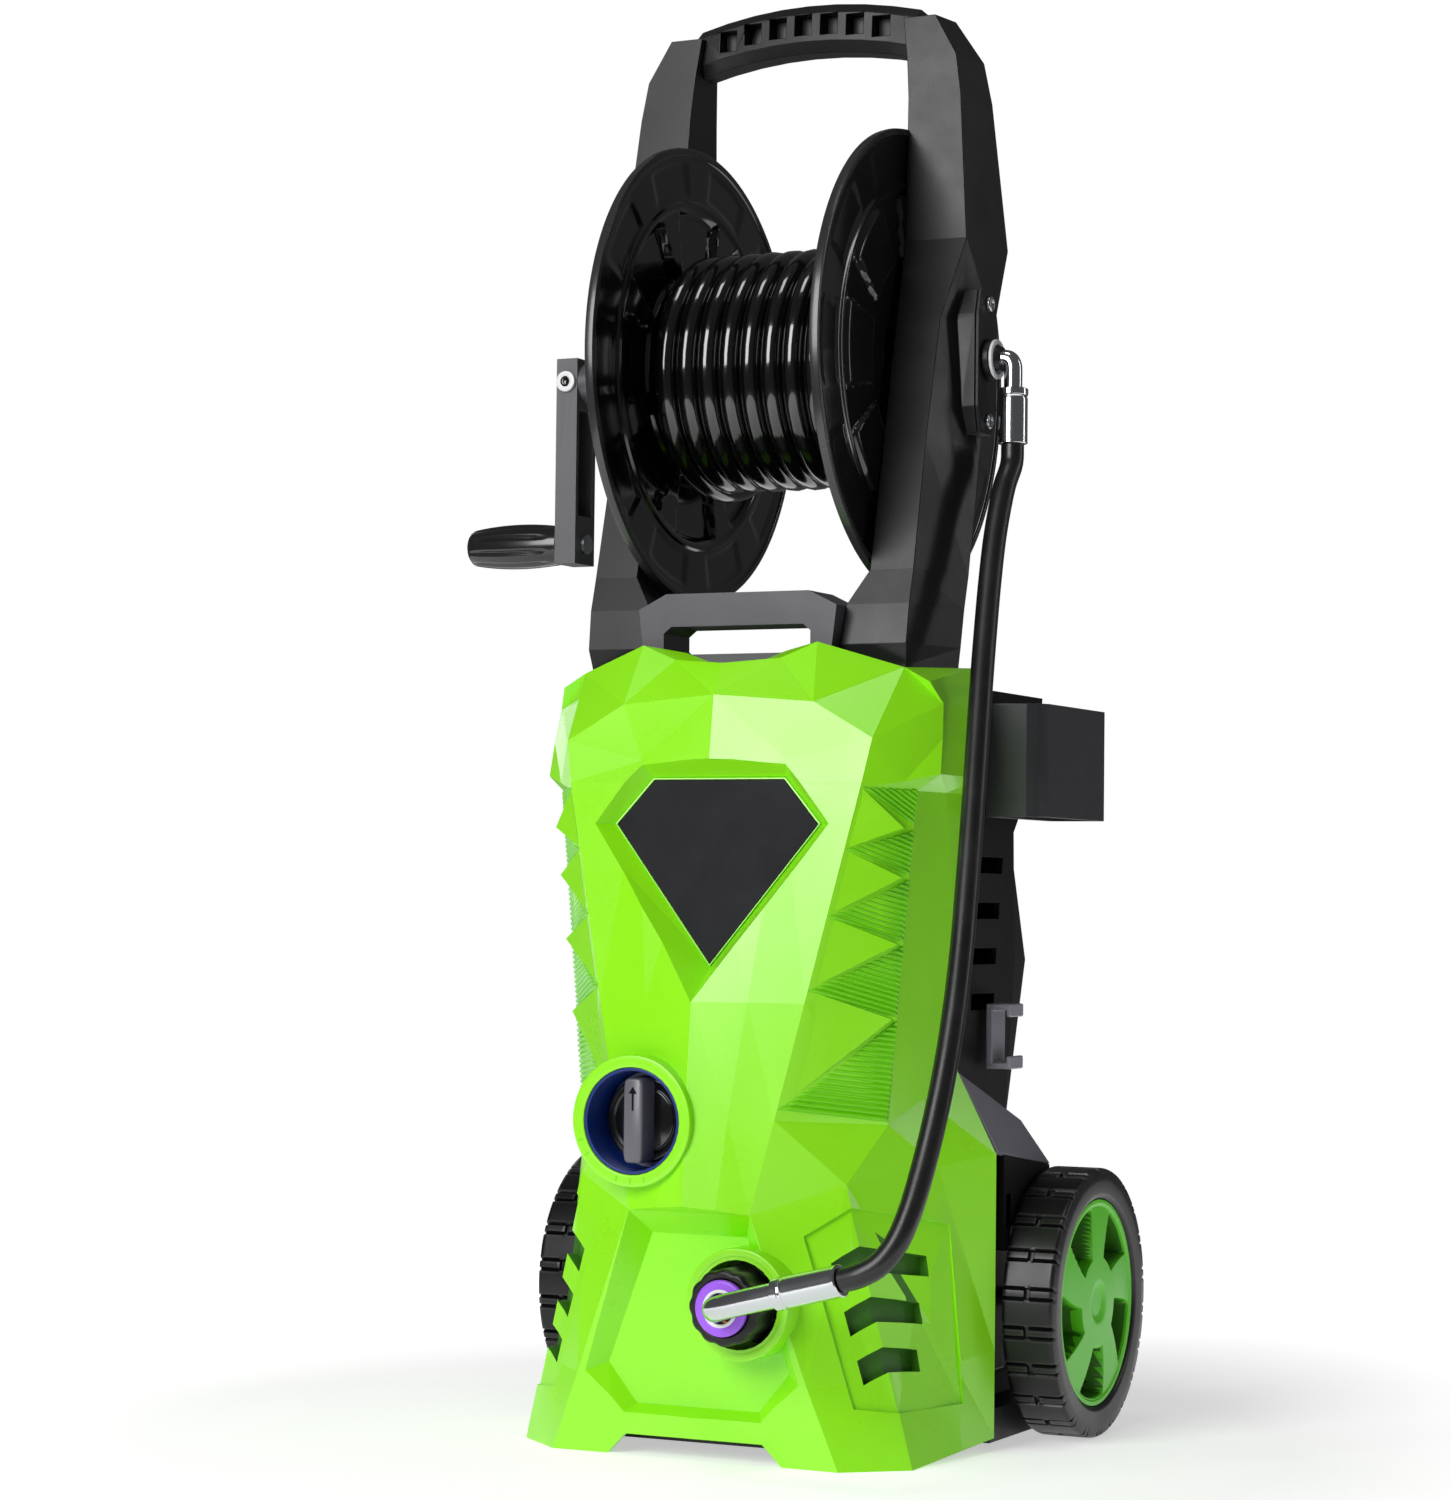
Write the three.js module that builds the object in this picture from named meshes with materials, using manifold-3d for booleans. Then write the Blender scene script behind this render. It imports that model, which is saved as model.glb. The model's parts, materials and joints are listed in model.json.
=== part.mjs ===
// Electric pressure washer: upright body on two wheels, with a hose reel held between two
// raked uprights. Millimetres, +Z up, front towards -Y, mid plane at X = 0 until the last step.
import * as THREE from 'three';
import { mergeVertices } from 'three/addons/utils/BufferGeometryUtils.js';
import Module from 'manifold-3d';

const wasm = await Module();
wasm.setup();

// ---------- driving dimensions ----------
const gap = 0.3;            // clearance between touching pieces
const runGap = 0.8;         // clearance round turning pieces
const wall = 3.5;           // cover wall
const coverWide = 1.0;      // width factor of the cover, 1 = 258 across the shoulders
const seamY = -88;          // where the front cover meets the rear cover
const ventDeep = 9;         // depth of the blind vent slots
const frameRise = 1.0;      // stretch of the uprights and handle above the carry bridge
const wheelR = 82.5;        // tyre radius
const wheelWide = 34;       // tyre width
const bodyHalf = 116;       // half width of the rear cover between the wheels
const wheelClear = 25.5;    // from the rear cover to a wheel
const rimR = 64;            // rim radius
const axleR = 6;
const reelY = -74;          // reel axis
const reelZ = 659;
const flangeR = 144;        // reel side plates
const flangeX = 71;         // inner face of a side plate
const drumR = 60;
const spindleR = 7.6;
const swivelX = 123.4;       // outer face of the uprights' pads
const hoseD = 14.6;         // wound hose
const woundTurns = 9;
const leadD = 14;           // connecting hose
const crankX = -160;        // middle of the crank arm
const crankDrop = 104;      // reel axis to grip axis
const gripLong = 68;
const gripR = 14.5;
const knobX = -33.5;        // pressure switch knob
const knobZ = 197.5;
const knobFaceY = -228;
const knobBoreR = 31.7;
const knobWall = 6.8;       // width of the raised ring round the knob
const outletX = 36;         // water outlet
const outletZ = 94;
const outletFaceY = -226;
const collarR = 22;
const motorY = -82;         // motor and pump axis
const motorR = 52;
const shaftR = 6;
const capacitorR = 17;
// derived places
const wheelIn = bodyHalf * coverWide + wheelClear;   // inner and outer faces of a wheel
const wheelOutX = wheelIn + wheelWide;
const knobRingR = knobBoreR + knobWall;
const sideX = 123 * coverWide;                       // widest part of the rear cover
const inletX = 36;                                   // water inlet at the back, clear of the axle
const inletZ = wheelR + 27.5;

// ---------- helpers ----------
const solid = (g) => {
  const c = g.clone();
  c.deleteAttribute('normal');
  c.deleteAttribute('uv');
  const m = mergeVertices(c, 1e-4);
  const v = m.attributes.position.array;
  const all = [...m.index.array];
  const t = new Uint32Array(all.filter((_, i) => {   // leave out collapsed triangles
    const [a, b, d] = all.slice(i - i % 3, i - i % 3 + 3);
    return a !== b && b !== d && a !== d;
  }));
  let six = 0;   // six times the signed volume: negative means the faces point inwards
  for (let i = 0; i < t.length; i += 3) {
    const [a, b, d] = [0, 1, 2].map((k) => new THREE.Vector3(...v.slice(3 * t[i + k], 3 * t[i + k] + 3)));
    six += a.dot(b.cross(d));
  }
  if (six < 0) for (let i = 0; i < t.length; i += 3) [t[i + 1], t[i + 2]] = [t[i + 2], t[i + 1]];
  return new wasm.Manifold(new wasm.Mesh({
    numProp: 3, vertProperties: new Float32Array(v), triVerts: t }));
};
const geometry = (s) => {
  const m = s.getMesh();
  const g = new THREE.BufferGeometry();
  const flat = [];
  for (const t of m.triVerts) {
    flat.push(...m.vertProperties.slice(t * m.numProp, t * m.numProp + 3));
  }
  g.setAttribute('position', new THREE.Float32BufferAttribute(flat, 3));
  g.computeVertexNormals();
  return g;
};
const at = (g, x, y, z) => g.translate(x, y, z);
const box = (x0, x1, y0, y1, z0, z1) => solid(at(
  new THREE.BoxGeometry(x1 - x0, y1 - y0, z1 - z0),
  (x0 + x1) / 2, (y0 + y1) / 2, (z0 + z1) / 2));
// turned profile of [radius, height] points about an axis through (x, y, z)
const turned = (points, seg, axis, x, y, z) => {
  const g = new THREE.LatheGeometry(points.map(([r, h]) => new THREE.Vector2(r, h)), seg);
  if (axis === 'x') g.rotateZ(-Math.PI / 2);
  if (axis === 'z') g.rotateX(Math.PI / 2);
  return solid(at(g, x, y, z));
};
const rod = (r, h0, h1, seg, axis, x, y, z) =>
  turned([[0, h0], [r, h0], [r, h1], [0, h1]], seg, axis, x, y, z);
const ring = (rIn, rOut, h0, h1, seg, axis, x, y, z) =>
  turned([[rIn, h0], [rOut, h0], [rOut, h1], [rIn, h1], [rIn, h0]], seg, axis, x, y, z);
// solid through a stack of closed rings with the same number of corners
const loft = (rings) => {
  const n = rings[0].length;
  const pos = [];
  const tri = (a, b, c) => pos.push(...a, ...b, ...c);
  const middle = (r) => [0, 1, 2].map((i) => r.reduce((s, p) => s + p[i], 0) / n);
  for (let j = 0; j + 1 < rings.length; j++) {
    for (let i = 0; i < n; i++) {
      const [a, b] = [rings[j][i], rings[j][(i + 1) % n]];
      const [c, d] = [rings[j + 1][i], rings[j + 1][(i + 1) % n]];
      const span = (p, q) => Math.hypot(p[0] - q[0], p[1] - q[1], p[2] - q[2]);
      if (span(a, d) < span(b, c) - 1e-6) {   // the shorter diagonal, so mirrored sides match
        tri(a, b, d);
        tri(a, d, c);
      } else {
        tri(a, b, c);
        tri(b, d, c);
      }
    }
  }
  const [first, last] = [rings[0], rings[rings.length - 1]];
  for (let i = 0; i < n; i++) {
    tri(middle(first), first[(i + 1) % n], first[i]);
    tri(middle(last), last[i], last[(i + 1) % n]);
  }
  const g = new THREE.BufferGeometry();
  g.setAttribute('position', new THREE.Float32BufferAttribute(pos, 3));
  return solid(g);
};
// flat outline of [a, b] corners pushed along an axis: 'x' takes (y, z), 'y' takes (x, z)
const plate = (corners, axis, from, to) => loft([from, to].map((h) => corners.map(([a, b]) => (
  axis === 'x' ? [h, a, b] : axis === 'y' ? [a, h, b] : [a, b, h]))));
const tube = (points, r, steps, seg) => {
  const path = new THREE.CatmullRomCurve3(points.map((p) => new THREE.Vector3(...p)), false,
    'centripetal');
  const disc = new THREE.Shape();
  disc.setFromPoints([...Array(seg).keys()].map((i) => new THREE.Vector2(
    r * Math.cos(2 * Math.PI * i / seg), r * Math.sin(2 * Math.PI * i / seg))));
  return solid(new THREE.ExtrudeGeometry(disc, { steps, extrudePath: path, bevelEnabled: false }));
};

const group = new THREE.Group();
const paint = (color, roughness, metalness = 0) => new THREE.MeshStandardMaterial(
  { color, roughness, metalness });
const add = (name, s, material) => {
  const mesh = new THREE.Mesh(geometry(s), material);
  mesh.name = name;
  group.add(mesh);
};
const green = paint(0x86e51f, 0.38);
const black = paint(0x1c1c1e, 0.42);
const satin = paint(0x3c3c40, 0.4);
const greyViolet = paint(0x67656d, 0.42);
const gloss = paint(0x0c0c0d, 0.15);
const rubber = paint(0x17171a, 0.6);
const steel = paint(0xc9ccd0, 0.2, 1);
const brass = paint(0xc7a14a, 0.3, 1);

// ---------- covers ----------
// each row: half outline from the mid plane out to the seam, [x, y, z] per corner; a corner
// that two neighbours share makes a three-sided facet
const [browMid, brow, temple] = [[0, -192.7, 449.7], [62.9, -187.8, 444.9], [100.9, -187.8, 423.2]];
const [trayTop, foldTop, seamTop] = [[39.6, -217.7, 145], [87.5, -188, 163], [141, seamY, 177]];
const [edgeFoot, foldFoot, seamFoot] = [[93.3, -209, 0], [127.5, -180, 0], [141, seamY, 8]];
const [crownMid, crownDip] = [[0, -182.5, 469.1], [35, -174.2, 472.1]];
const [crownPeak, crownEnd] = [[58, -172.2, 481.4], [106.8, -154.8, 466.4]];
const coverRows = [
  [[0, -208, 0], [45, -208, 0], edgeFoot, foldFoot, [135.6, -125, 5], seamFoot],
  [[0, -216, 60], [37, -214, 52], [75, -212.9, 47.2], [115.2, -182.5, 50], [130.7, -126, 56],
    [141, seamY, 60]],
  [[0, -228.1, 147.8], [20, -223.5, 146.5], trayTop, foldTop, [119.6, -128, 171.4], seamTop],
  [[0, -224, 200], [25, -218.5, 200], [51.9, -212.1, 200], [101.5, -160, 197],
    [109, -124, 211], [115.5, seamY, 226]],
  [[0, -218.4, 268], [33.6, -211.7, 268], [67.2, -205.1, 268], [107, -160, 268],
    [112.5, -125, 268], [117, seamY, 268]],
  [[0, -200.2, 393], [48, -196, 393], [95.3, -192.2, 393.4], [117.8, -160, 393],
    [122, -125, 393], [124, seamY, 393]],
  [[0, -199.8, 397], [48, -195.6, 397], [96.3, -191.8, 397.7], [114.4, -171, 398.2],
    [130.9, -155.6, 403], [128, seamY, 403]],
  [[0, -197.4, 414.9], [47.9, -191.7, 410.7], temple, temple, [130, -151, 424],
    [128, seamY, 424]],
  [browMid, brow, brow, temple, [128.3, -146, 444.8], [128, seamY, 446]],
  [crownMid, crownDip, crownPeak, crownEnd, [122.4, -153.6, 457.8], [126, seamY, 458]],
  [crownMid, crownDip, crownPeak, crownEnd, crownEnd, [124, seamY, 469.5]],
];
const fullRow = (half) => [
  ...half.slice(1).reverse().map(([x, y, z]) => [-x, y, z]), ...half];
// the cover's outer form, or its hollow when inset is more than 0
function coverForm(inset) {
  const rows = coverRows.map((half, j) => fullRow(half.map(([x, y, z], i) => {
    const wide = x * coverWide;
    const len = Math.hypot(wide, y - seamY) || 1;
    const push = inset * 1.25 / len;
    const rear = inset > 0 && i === 5;
    const top = inset > 0 && j > coverRows.length - 3;
    return [wide - wide * push, rear ? seamY + 5 : y - (y - seamY) * push, top ? z - inset * 1.6 : z];
  })));
  if (inset > 0) rows.unshift(rows[0].map(([x, y]) => [x, y, -6]));
  return loft(rows);
}
const badgeOuter = [[-48.7, 411], [48.7, 411], [83, 373], [0, 268], [-83, 373]];
const badgeInner = [[-43.4, 400], [43.4, 400], [67.3, 373], [0, 289], [-67.3, 373]];
const badgeY = (z) => -182 - (400 - z) * 0.088;
// funnel between an outline in front of the cover and a smaller one behind, widened by grow
function badgeFunnel(grow, sink) {
  const c = [0, 345];
  const wider = ([x, z], k) => [
    c[0] + (x - c[0]) * (1 + k / 60), c[1] + (z - c[1]) * (1 + k / 60)];
  const front = badgeOuter.map((p) => wider(p, grow + 4)).map(([x, z]) => [x, -224, z]);
  const outer = badgeOuter.map((p) => wider(p, grow)).map(([x, z]) => [
    x, -196 - (411 - z) * 0.154, z]);
  const inner = badgeInner.map((p) => wider(p, grow)).map(([x, z]) => [x, badgeY(z) + sink, z]);
  return loft([front, outer, inner]);
}
const trayOuter = [[-39.7, 145], [39.7, 145], [75, 46], [49, 20.7], [-49, 20.7], [-75, 46]];
const trayInner = [[-31, 131], [31, 131], [59, 53], [40, 30], [-40, 30], [-59, 53]];
function trayFunnel(grow, sink) {
  const wider = ([x, z], k) => [x * (1 + k / 55), 80 + (z - 80) * (1 + k / 55)];
  const ringAt = (o, k, y) => o.map((p) => wider(p, k)).map(([x, z]) => [x, y, z]);
  return loft([ringAt(trayOuter, grow + 5, -232), ringAt(trayOuter, grow, -218),
    ringAt(trayInner, grow, -203 + sink)]);
}
// raised triangular teeth along each flank: [upper root z, lower root z, tip z]
const teeth = [
  [395, 358, [115.7, -174.2, 371]], [358, 319, [113.6, -171.4, 342]],
  [319, 276, [110.2, -169.6, 303]], [276, 206, [106.2, -167.6, 259]]];
const frontEdge = (z) => [39.6 + (z - 145) * 0.2244, -217.7 + (z - 145) * 0.1025];
function tooth([zTop, zLow, [x, y, z]], side) {
  const root = (h, d) => [side * (frontEdge(h)[0] - 0.6) * coverWide, frontEdge(h)[1] + d, h];
  const tip = [side * x * coverWide, y, z];
  return loft([[root(zTop, 0.3), root(zLow, 0.3), tip],
    [root(zTop, 2.6), root(zLow, 2.6), [tip[0] - side * 3, tip[1] + 11, z]]]);
}
// lower flank: across runs from -1 (edge of the front face) through 0 (its fold) to 1 (the
// seam), and down from 0 (top of the fold) to 1 (floor)
function flankPoint(across, down, side, out) {
  const mix = (a, b, k) => a.map((v, i) => v + (b[i] - v) * k);
  const fold = mix(foldTop, foldFoot, down);
  const end = across < 0 ? mix(trayTop, edgeFoot, down) : mix(seamTop, seamFoot, down);
  const normal = across < 0 ? [0.51, -0.85, 0.12] : across > 0 ? [0.88, -0.42, 0.21]
    : [0.72, -0.67, 0.17];
  const [x, y, z] = mix(fold, end, Math.abs(across)).map((v, i) => v + normal[i] * out);
  return [side * x * coverWide, y, z];
}
// block under a six-cornered outline folded at 0, between two distances from the surface
function flankBlock([leftX, leftHi, leftLo, foldHi, foldLo, rightX, rightHi, rightLo], side, a, b) {
  const half = (x, hi, lo) => loft([a, b].map((out) => [[x, hi], [0, foldHi], [0, foldLo],
    [x, lo]].map(([u, v]) => flankPoint(u, v, side, out))));
  return half(leftX, leftHi, leftLo).add(half(rightX, rightHi, rightLo));
}
const ventPanel = [-0.55, 0.13, 0.77, 0.08, 0.8, 0.66, 0.21, 0.84];
const ventBacking = [-0.6, 0.1, 0.8, 0.06, 0.83, 0.7, 0.19, 0.86];
const ventSlots = [0, 1, 2].map((i) => [-0.345, 0.248 + i * 0.177, 0.337 + i * 0.177,
  0.215 + i * 0.177, 0.303 + i * 0.177, 0.47 - i * 0.09, 0.3 + i * 0.155, 0.373 + i * 0.157]);
function frontCover() {
  const outer = coverForm(0);
  let s = outer.subtract(coverForm(wall));
  s = s.add(badgeFunnel(4, 4).intersect(outer)).add(trayFunnel(4, 4).intersect(outer));
  s = s.add(rod(knobRingR, knobFaceY, -196, 36, 'y', knobX, 0, knobZ));
  s = s.add(rod(32.5, outletFaceY, -192, 32, 'y', outletX, 0, outletZ));
  for (const side of [1, -1]) for (const t of teeth) s = s.add(tooth(t, side));
  s = s.subtract(badgeFunnel(0, 0)).subtract(trayFunnel(0, 0)
    .subtract(rod(32.5, outletFaceY, -190, 32, 'y', outletX, 0, outletZ))
    .subtract(rod(knobRingR, knobFaceY, -190, 36, 'y', knobX, 0, knobZ)));
  s = s.subtract(rod(knobBoreR, -240, -150, 36, 'y', knobX, 0, knobZ));
  s = s.subtract(rod(26, -240, -150, 28, 'y', outletX, 0, outletZ));
  for (const side of [1, -1]) {
    s = s.add(flankBlock(ventBacking, side, -0.8, -ventDeep - wall).intersect(outer));
    s = s.subtract(flankBlock(ventPanel, side, 4, -1.8));
    for (const slot of ventSlots) s = s.subtract(flankBlock(slot, side, 4, -ventDeep));
  }
  s = s.subtract(plate([[-58, -1], [58, -1], [45, 12.4], [-45, 12.4]], 'y', -240, -150));
  for (const side of [1, -1]) s = s.subtract(upright(side, 0.5));
  s = s.subtract(bridgeForm(0.5));
  return biggest(s);
}
const biggest = (s) => s.decompose().sort((a, b) => b.volume() - a.volume())[0];
const badgePlate = () => {
  const small = badgeInner.map(([x, z]) => [x * 0.985, 345 + (z - 345) * 0.985]);
  return loft([-2.2, -gap].map((d) => small.map(([x, z]) => [x, badgeY(z) + d, z])));
};
// rear cover rows: half outline from the seam round to the back, at each height
const rearRows = [
  [40, bodyHalf, 112, 50, 96, 62, 66], [150, bodyHalf, 112, 30, 94, 50, 56],
  [193, 110, 108, 8, 100, 30, 40], [292, 115, 112, 12, 106, 46, 54],
  [372, 121, 118, -6, 104, 22, 34], [420, 123, 121, 30, 108, 42, 48],
  [458, 123, 121, 34, 106, 44, 50]];
function rearForm(inset) {
  const rows = rearRows.map(([z, xa, xb, yb, xc, yc, yd], j) => {
    const top = inset > 0 && j === rearRows.length - 1 ? inset : 0;
    const low = inset > 0 && j === 0 ? -10 : 0;
    const w = (x) => (x - inset) * coverWide;
    const half = [[0, yd - inset], [w(xc), yc - inset], [w(xb), yb - inset],
      [w(xa), seamY + 0.4 - (inset > 0 ? 5 : 0)]];
    return fullRow(half.map(([x, y]) => [x, y, z - top + low]));
  });
  return loft(rows);
}
function rearCover() {
  let s = rearForm(0).subtract(rearForm(wall));
  // rows of cooling slots on both sides and across the back
  for (const side of [1, -1]) {
    for (const z of [262, 290, 318, 346]) {
      s = s.subtract(box(side * 90 - 40, side * 90 + 40, -62, -22, z, z + 10));
    }
  }
  for (const z of [240, 262, 284, 306]) s = s.subtract(box(-60, 60, 20, 90, z, z + 9));
  s = s.subtract(rod(axleR + 1, -200, 200, 20, 'x', 0, 0, wheelR));
  s = s.subtract(rod(10, 0, 90, 24, 'y', -60, 0, 150));
  s = s.subtract(rod(18, 0, 90, 32, 'y', inletX, 0, inletZ));
  for (const side of [1, -1]) s = s.subtract(upright(side, 0.5));
  return biggest(s);
}
function baseTray() {
  const w = coverWide;
  let s = box(-112 * w, 112 * w, -182, 60, 6, 24)
    .add(rod(30, 20, 76 - gap, 24, 'z', 0, motorY, 0))
    .add(plate([[-112 * w, 24], [112 * w, 24], [104 * w, 38], [-104 * w, 38]], 'y', -24, 24));
  for (const [x0, x1] of [[-136.5, -111.5], [111.5, 136.5]]) {
    s = s.add(box(x0 * w, x1 * w, -84, 44, 4, 24));
  }
  s = s.subtract(box(-90, 90, -170, -124, 12, 30)).subtract(box(-90, 90, 30, 50, 12, 30));
  // upright ears carry the axle
  for (const x of [-101 * w, 101 * w]) {
    s = s.add(plate([[-18, 30], [18, 30], [12, wheelR + 17.5], [-12, wheelR + 17.5]], 'x',
      x - 4, x + 4));
  }
  return s.subtract(rod(axleR + 0.4, -wheelOutX, wheelOutX, 24, 'x', 0, 0, wheelR));
}
function fender(side) {
  const top = 2 * wheelR;
  const [inX, outX] = [117.5 * coverWide, wheelIn + 4.5];
  const corners = [[inX, -86, top + 57], [inX, 15, top + 25], [outX, 6, top + 7],
    [outX, -76, top + 19]].map(([x, y, z]) => [side * x, y, z]);
  return loft([corners, corners.map(([x, y, z]) => [x - side * 2, y, z - 4])])
    .subtract(rearForm(0)).subtract(rearForm(0).translate([side * 0.3, 0, 0]))
    .subtract(coverForm(0).translate([side * 0.3, 0.3, 0]));
}
// ---------- uprights, handle, bridge ----------
// each row: z, front inner x, ridge x, front y, rear outer x, rear inner x, rear y
const uprightRows = [
  [405, 70, 102, -143, 108, 70, -100], [468, 60.5, 105, -148.5, 117, 66, -96],
  [481, 60.5, 106.5, -152, 118, 66, -95], [505, 66, 107, -149, 119, 74, -92],
  [526, 78.5, 107, -143, 120, 79, -88], [606, 78.5, 106, -124, 121, 79, -74],
  [681, 78, 107, -106, 121.5, 79, -54], [732, 77.5, 118, -92, 123, 79, -36],
  [823, 75, 110, -84, 115, 76, -44], [848, 73, 106, -82, 111, 74, -48],
  [874, 69.5, 91, -80, 95, 70, -56]];
const riseTo = (z) => (z < 526 ? z : 526 + (z - 526) * frameRise);
// grow widens the form for clearance; a negative grow gives its hollow, open at the foot
function upright(side, grow) {
  return loft(uprightRows.map(([z, xa, xb, y, xc, xd, yr], j) => {
    const foot = grow !== 0 && j === 0 ? 1 : 0;
    const cap = grow < 0 && j === uprightRows.length - 1 ? -grow : 0;
    return [[xa - grow, y - grow], [xb + grow, y - grow], [xc + grow, yr + grow],
      [xd - grow, yr + grow]].map(([px, py]) => [side * px, py, riseTo(z) - foot - cap]);
  }));
}
// pads on the outside carry the crank side's collar and the swivel plate; the bore is the bush
function uprightPiece(side) {
  const pad = side > 0 ? plate([[-12, -46], [6, -46], [14, -30], [14, 26], [6, 42], [-12, 42],
    [-16, 26], [-16, -30]].map(([y, z]) => [reelY + y, reelZ + z]), 'x', 100, swivelX - 0.1)
    : rod(17, -swivelX, -100, 24, 'x', 0, reelY, reelZ);
  return upright(side, 0).add(pad).subtract(upright(side, -wall))
    .subtract(rod(spindleR + runGap, -200, 200, 24, 'x', 0, reelY, reelZ));
}
function bridgeForm(grow) {
  const outline = [[-47.6, 513], [47.6, 513], [66, 504], [61, 462], [-61, 462], [-66, 504]];
  return plate(outline.map(([x, z]) => [x * (1 + grow / 60), z + (z > 480 ? grow : -grow)]),
    'y', -163 - grow, -128 + grow);
}
function carryBridge() {
  const slot = [[-44, 493], [44, 493], [49, 489], [49, 480], [44, 476], [-44, 476], [-49, 480],
    [-49, 489]];
  let s = bridgeForm(0).subtract(plate(slot, 'y', -200, -100));
  for (const side of [1, -1]) s = s.subtract(upright(side, gap));
  return biggest(s);
}
function handleBar() {
  const rows = [-1, -0.75, -0.5, -0.25, 0, 0.25, 0.5, 0.75, 1].map((u) => {
    const z = riseTo(866) + 9 * (1 - u * u);
    const y = -60 - 3 * (1 - u * u);
    return [[-15, -9], [-10, -16], [6, -16], [14, -10], [15, 6], [9, 14], [-6, 15.5], [-14, 9]]
      .map(([dy, dz]) => [u * 76, y + dy, z + dz]);
  });
  let s = loft(rows);
  for (const i of [-3, -2, -1, 0, 1, 2, 3]) {
    const z = riseTo(861) + 9 * (1 - (i / 4) ** 2);
    s = s.subtract(box(i * 17.6 - 5.8, i * 17.6 + 5.8, -90, -66, z, z + 13));
  }
  for (const side of [1, -1]) s = s.subtract(upright(side, gap));
  return biggest(s);
}
function gunHolder() {
  const outline = (inset) => [[1.6 + inset, -70 + inset], [28, -70 + inset],
    [35, -67.5 + inset], [39 - inset, -60], [39 - inset, 37 - inset], [1.6 + inset, 37 - inset]]
    .map(([x, y]) => [sideX + x, y]);
  return plate(outline(0), 'z', 380, 449).subtract(plate(outline(3), 'z', 370, 460));
}
function cordHook() {
  const c = [[0, 0], [16.4, 0], [16.4, 8], [13.4, 8], [13.4, 4], [4.4, 4], [4.4, 36],
    [13.4, 36], [13.4, 32], [16.4, 32], [16.4, 40], [0, 40]];
  const rise = 2 * wheelR + 61;   // just above the fender
  return plateXZ(c.map(([x, z]) => [115 * coverWide + 0.6 + x, rise + z]), -44, -22);
}
// outline that isn't convex, in (x, z), pushed along y
function plateXZ(corners, y0, y1) {
  const shape = new THREE.Shape(corners.map(([x, z]) => new THREE.Vector2(x, z)));
  const g = new THREE.ExtrudeGeometry(shape, { depth: y1 - y0, bevelEnabled: false });
  return solid(at(g.rotateX(Math.PI / 2), 0, y1, 0));
}
// ---------- switch ----------
const knobCup = () => turned([[0, -199], [knobBoreR - gap, -199],
  [knobBoreR - gap, knobFaceY + 1], [knobBoreR - 2.5, knobFaceY + 1], [knobBoreR - 3.3, -202],
  [0, -202]],
36, 'y', knobX, 0, knobZ).subtract(rod(5, -300, 0, 16, 'y', knobX, 0, knobZ));
const knobDisc = () => rod(knobBoreR - 6.2, -210, -203, 36, 'y', knobX, 0, knobZ)
  .add(rod(4, -204, -180, 20, 'y', knobX, 0, knobZ));
const knobGrip = () => {
  const end = knobBoreR - 7.7;
  return plateXZ([[-6.2, -end], [6.2, -end], [7, 0], [6.2, end], [0, end + 2.5], [-6.2, end],
    [-7, 0]].map(([x, z]) => [knobX + x, knobZ + z]), -226, -210 - gap);
};
const switchBox = () => box(knobX - 20, knobX + 20, -198.6, -158, knobZ - 21, knobZ + 21)
  .subtract(rod(4.4, -220, -174, 20, 'y', knobX, 0, knobZ));
// ---------- outlet and connecting hose ----------
const outletPort = () => turned([[5, -150], [17, -150], [17, -156], [13.4, -158], [13.4, -236],
  [8.6, -236], [8.6, -225], [5, -225], [5, -150]], 20, 'y', outletX, 0, outletZ);
function outletCollar() {
  // twelve grip lobes round the rim
  const lobes = [...Array(24).keys()].map((i) => {
    const a = 2 * Math.PI * i / 24;
    const r = collarR - [0, 2.4][i % 2];
    return [outletX + r * Math.cos(a), outletZ + r * Math.sin(a)];
  });
  const nut = loft([-245.6, -219].map((y) => lobes.map(([x, z]) => [x, y, z])));
  return nut.subtract(rod(9.4, -250, -200, 16, 'y', outletX, 0, outletZ))
    .subtract(rod(13.4 + gap, -238, -200, 20, 'y', outletX, 0, outletZ));
}
const outletSeal = () => turned([[9.4, -246], [16.2, -246], [16.8, -247], [16, -248.6],
  [11, -248.6], [9.4, -247.2], [9.4, -246]], 20, 'y', outletX, 0, outletZ);
const elbowPath = [[outletX, outletFaceY - 0.5, outletZ], [outletX, outletFaceY - 20, outletZ],
  [outletX + 1, -256, outletZ + 0.4], [outletX + 5, -263.5, outletZ + 1.6],
  [outletX + 13, -267.5, outletZ + 4], [outletX + 28, -269.6, outletZ + 8],
  [outletX + 46, -271.2, outletZ + 12.6]];
const outletElbow = () => tube(elbowPath, 7.3, 14, 12);
const sleeve = (from, to, r, seg) => tube([from, from.map((v, i) => (v + to[i]) / 2), to], r, 2, seg);
const lowerEnds = [[outletX + 46.3, -271.2, outletZ + 12.7], [outletX + 88, -275, outletZ + 23.4]];
const lowerFerrule = () => sleeve(...lowerEnds, 9.6, 16);
const upperEnds = [[142, reelY, reelZ - 18.3], [142, reelY, reelZ - 52]];
const upperFerrule = () => sleeve(...upperEnds, 9.4, 14);
const leadRoute = [[outletX + 88.6, -275.1, outletZ + 23.6], [135.5, -275.2, 121],
  [146, -272.5, 127.5], [153.5, -267, 139], [158, -259.5, 155], [160.8, -250.5, 175],
  [162.8, -241, 197], [164.2, -231, 221], [164.6, -220.5, 246], [164, -209.5, 272],
  [162.2, -197, 301], [159.6, -184.5, 331], [156.6, -171.5, 362], [153.2, -158, 394],
  [149.8, -145, 425], [146.6, -132.5, 456], [143.6, -119.5, 488], [141.2, -107, 520],
  [139.9, -95.5, 550], [140.6, -84.5, 578], [142, reelY - 1.5, 594], [142, reelY, reelZ - 53]];
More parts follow.
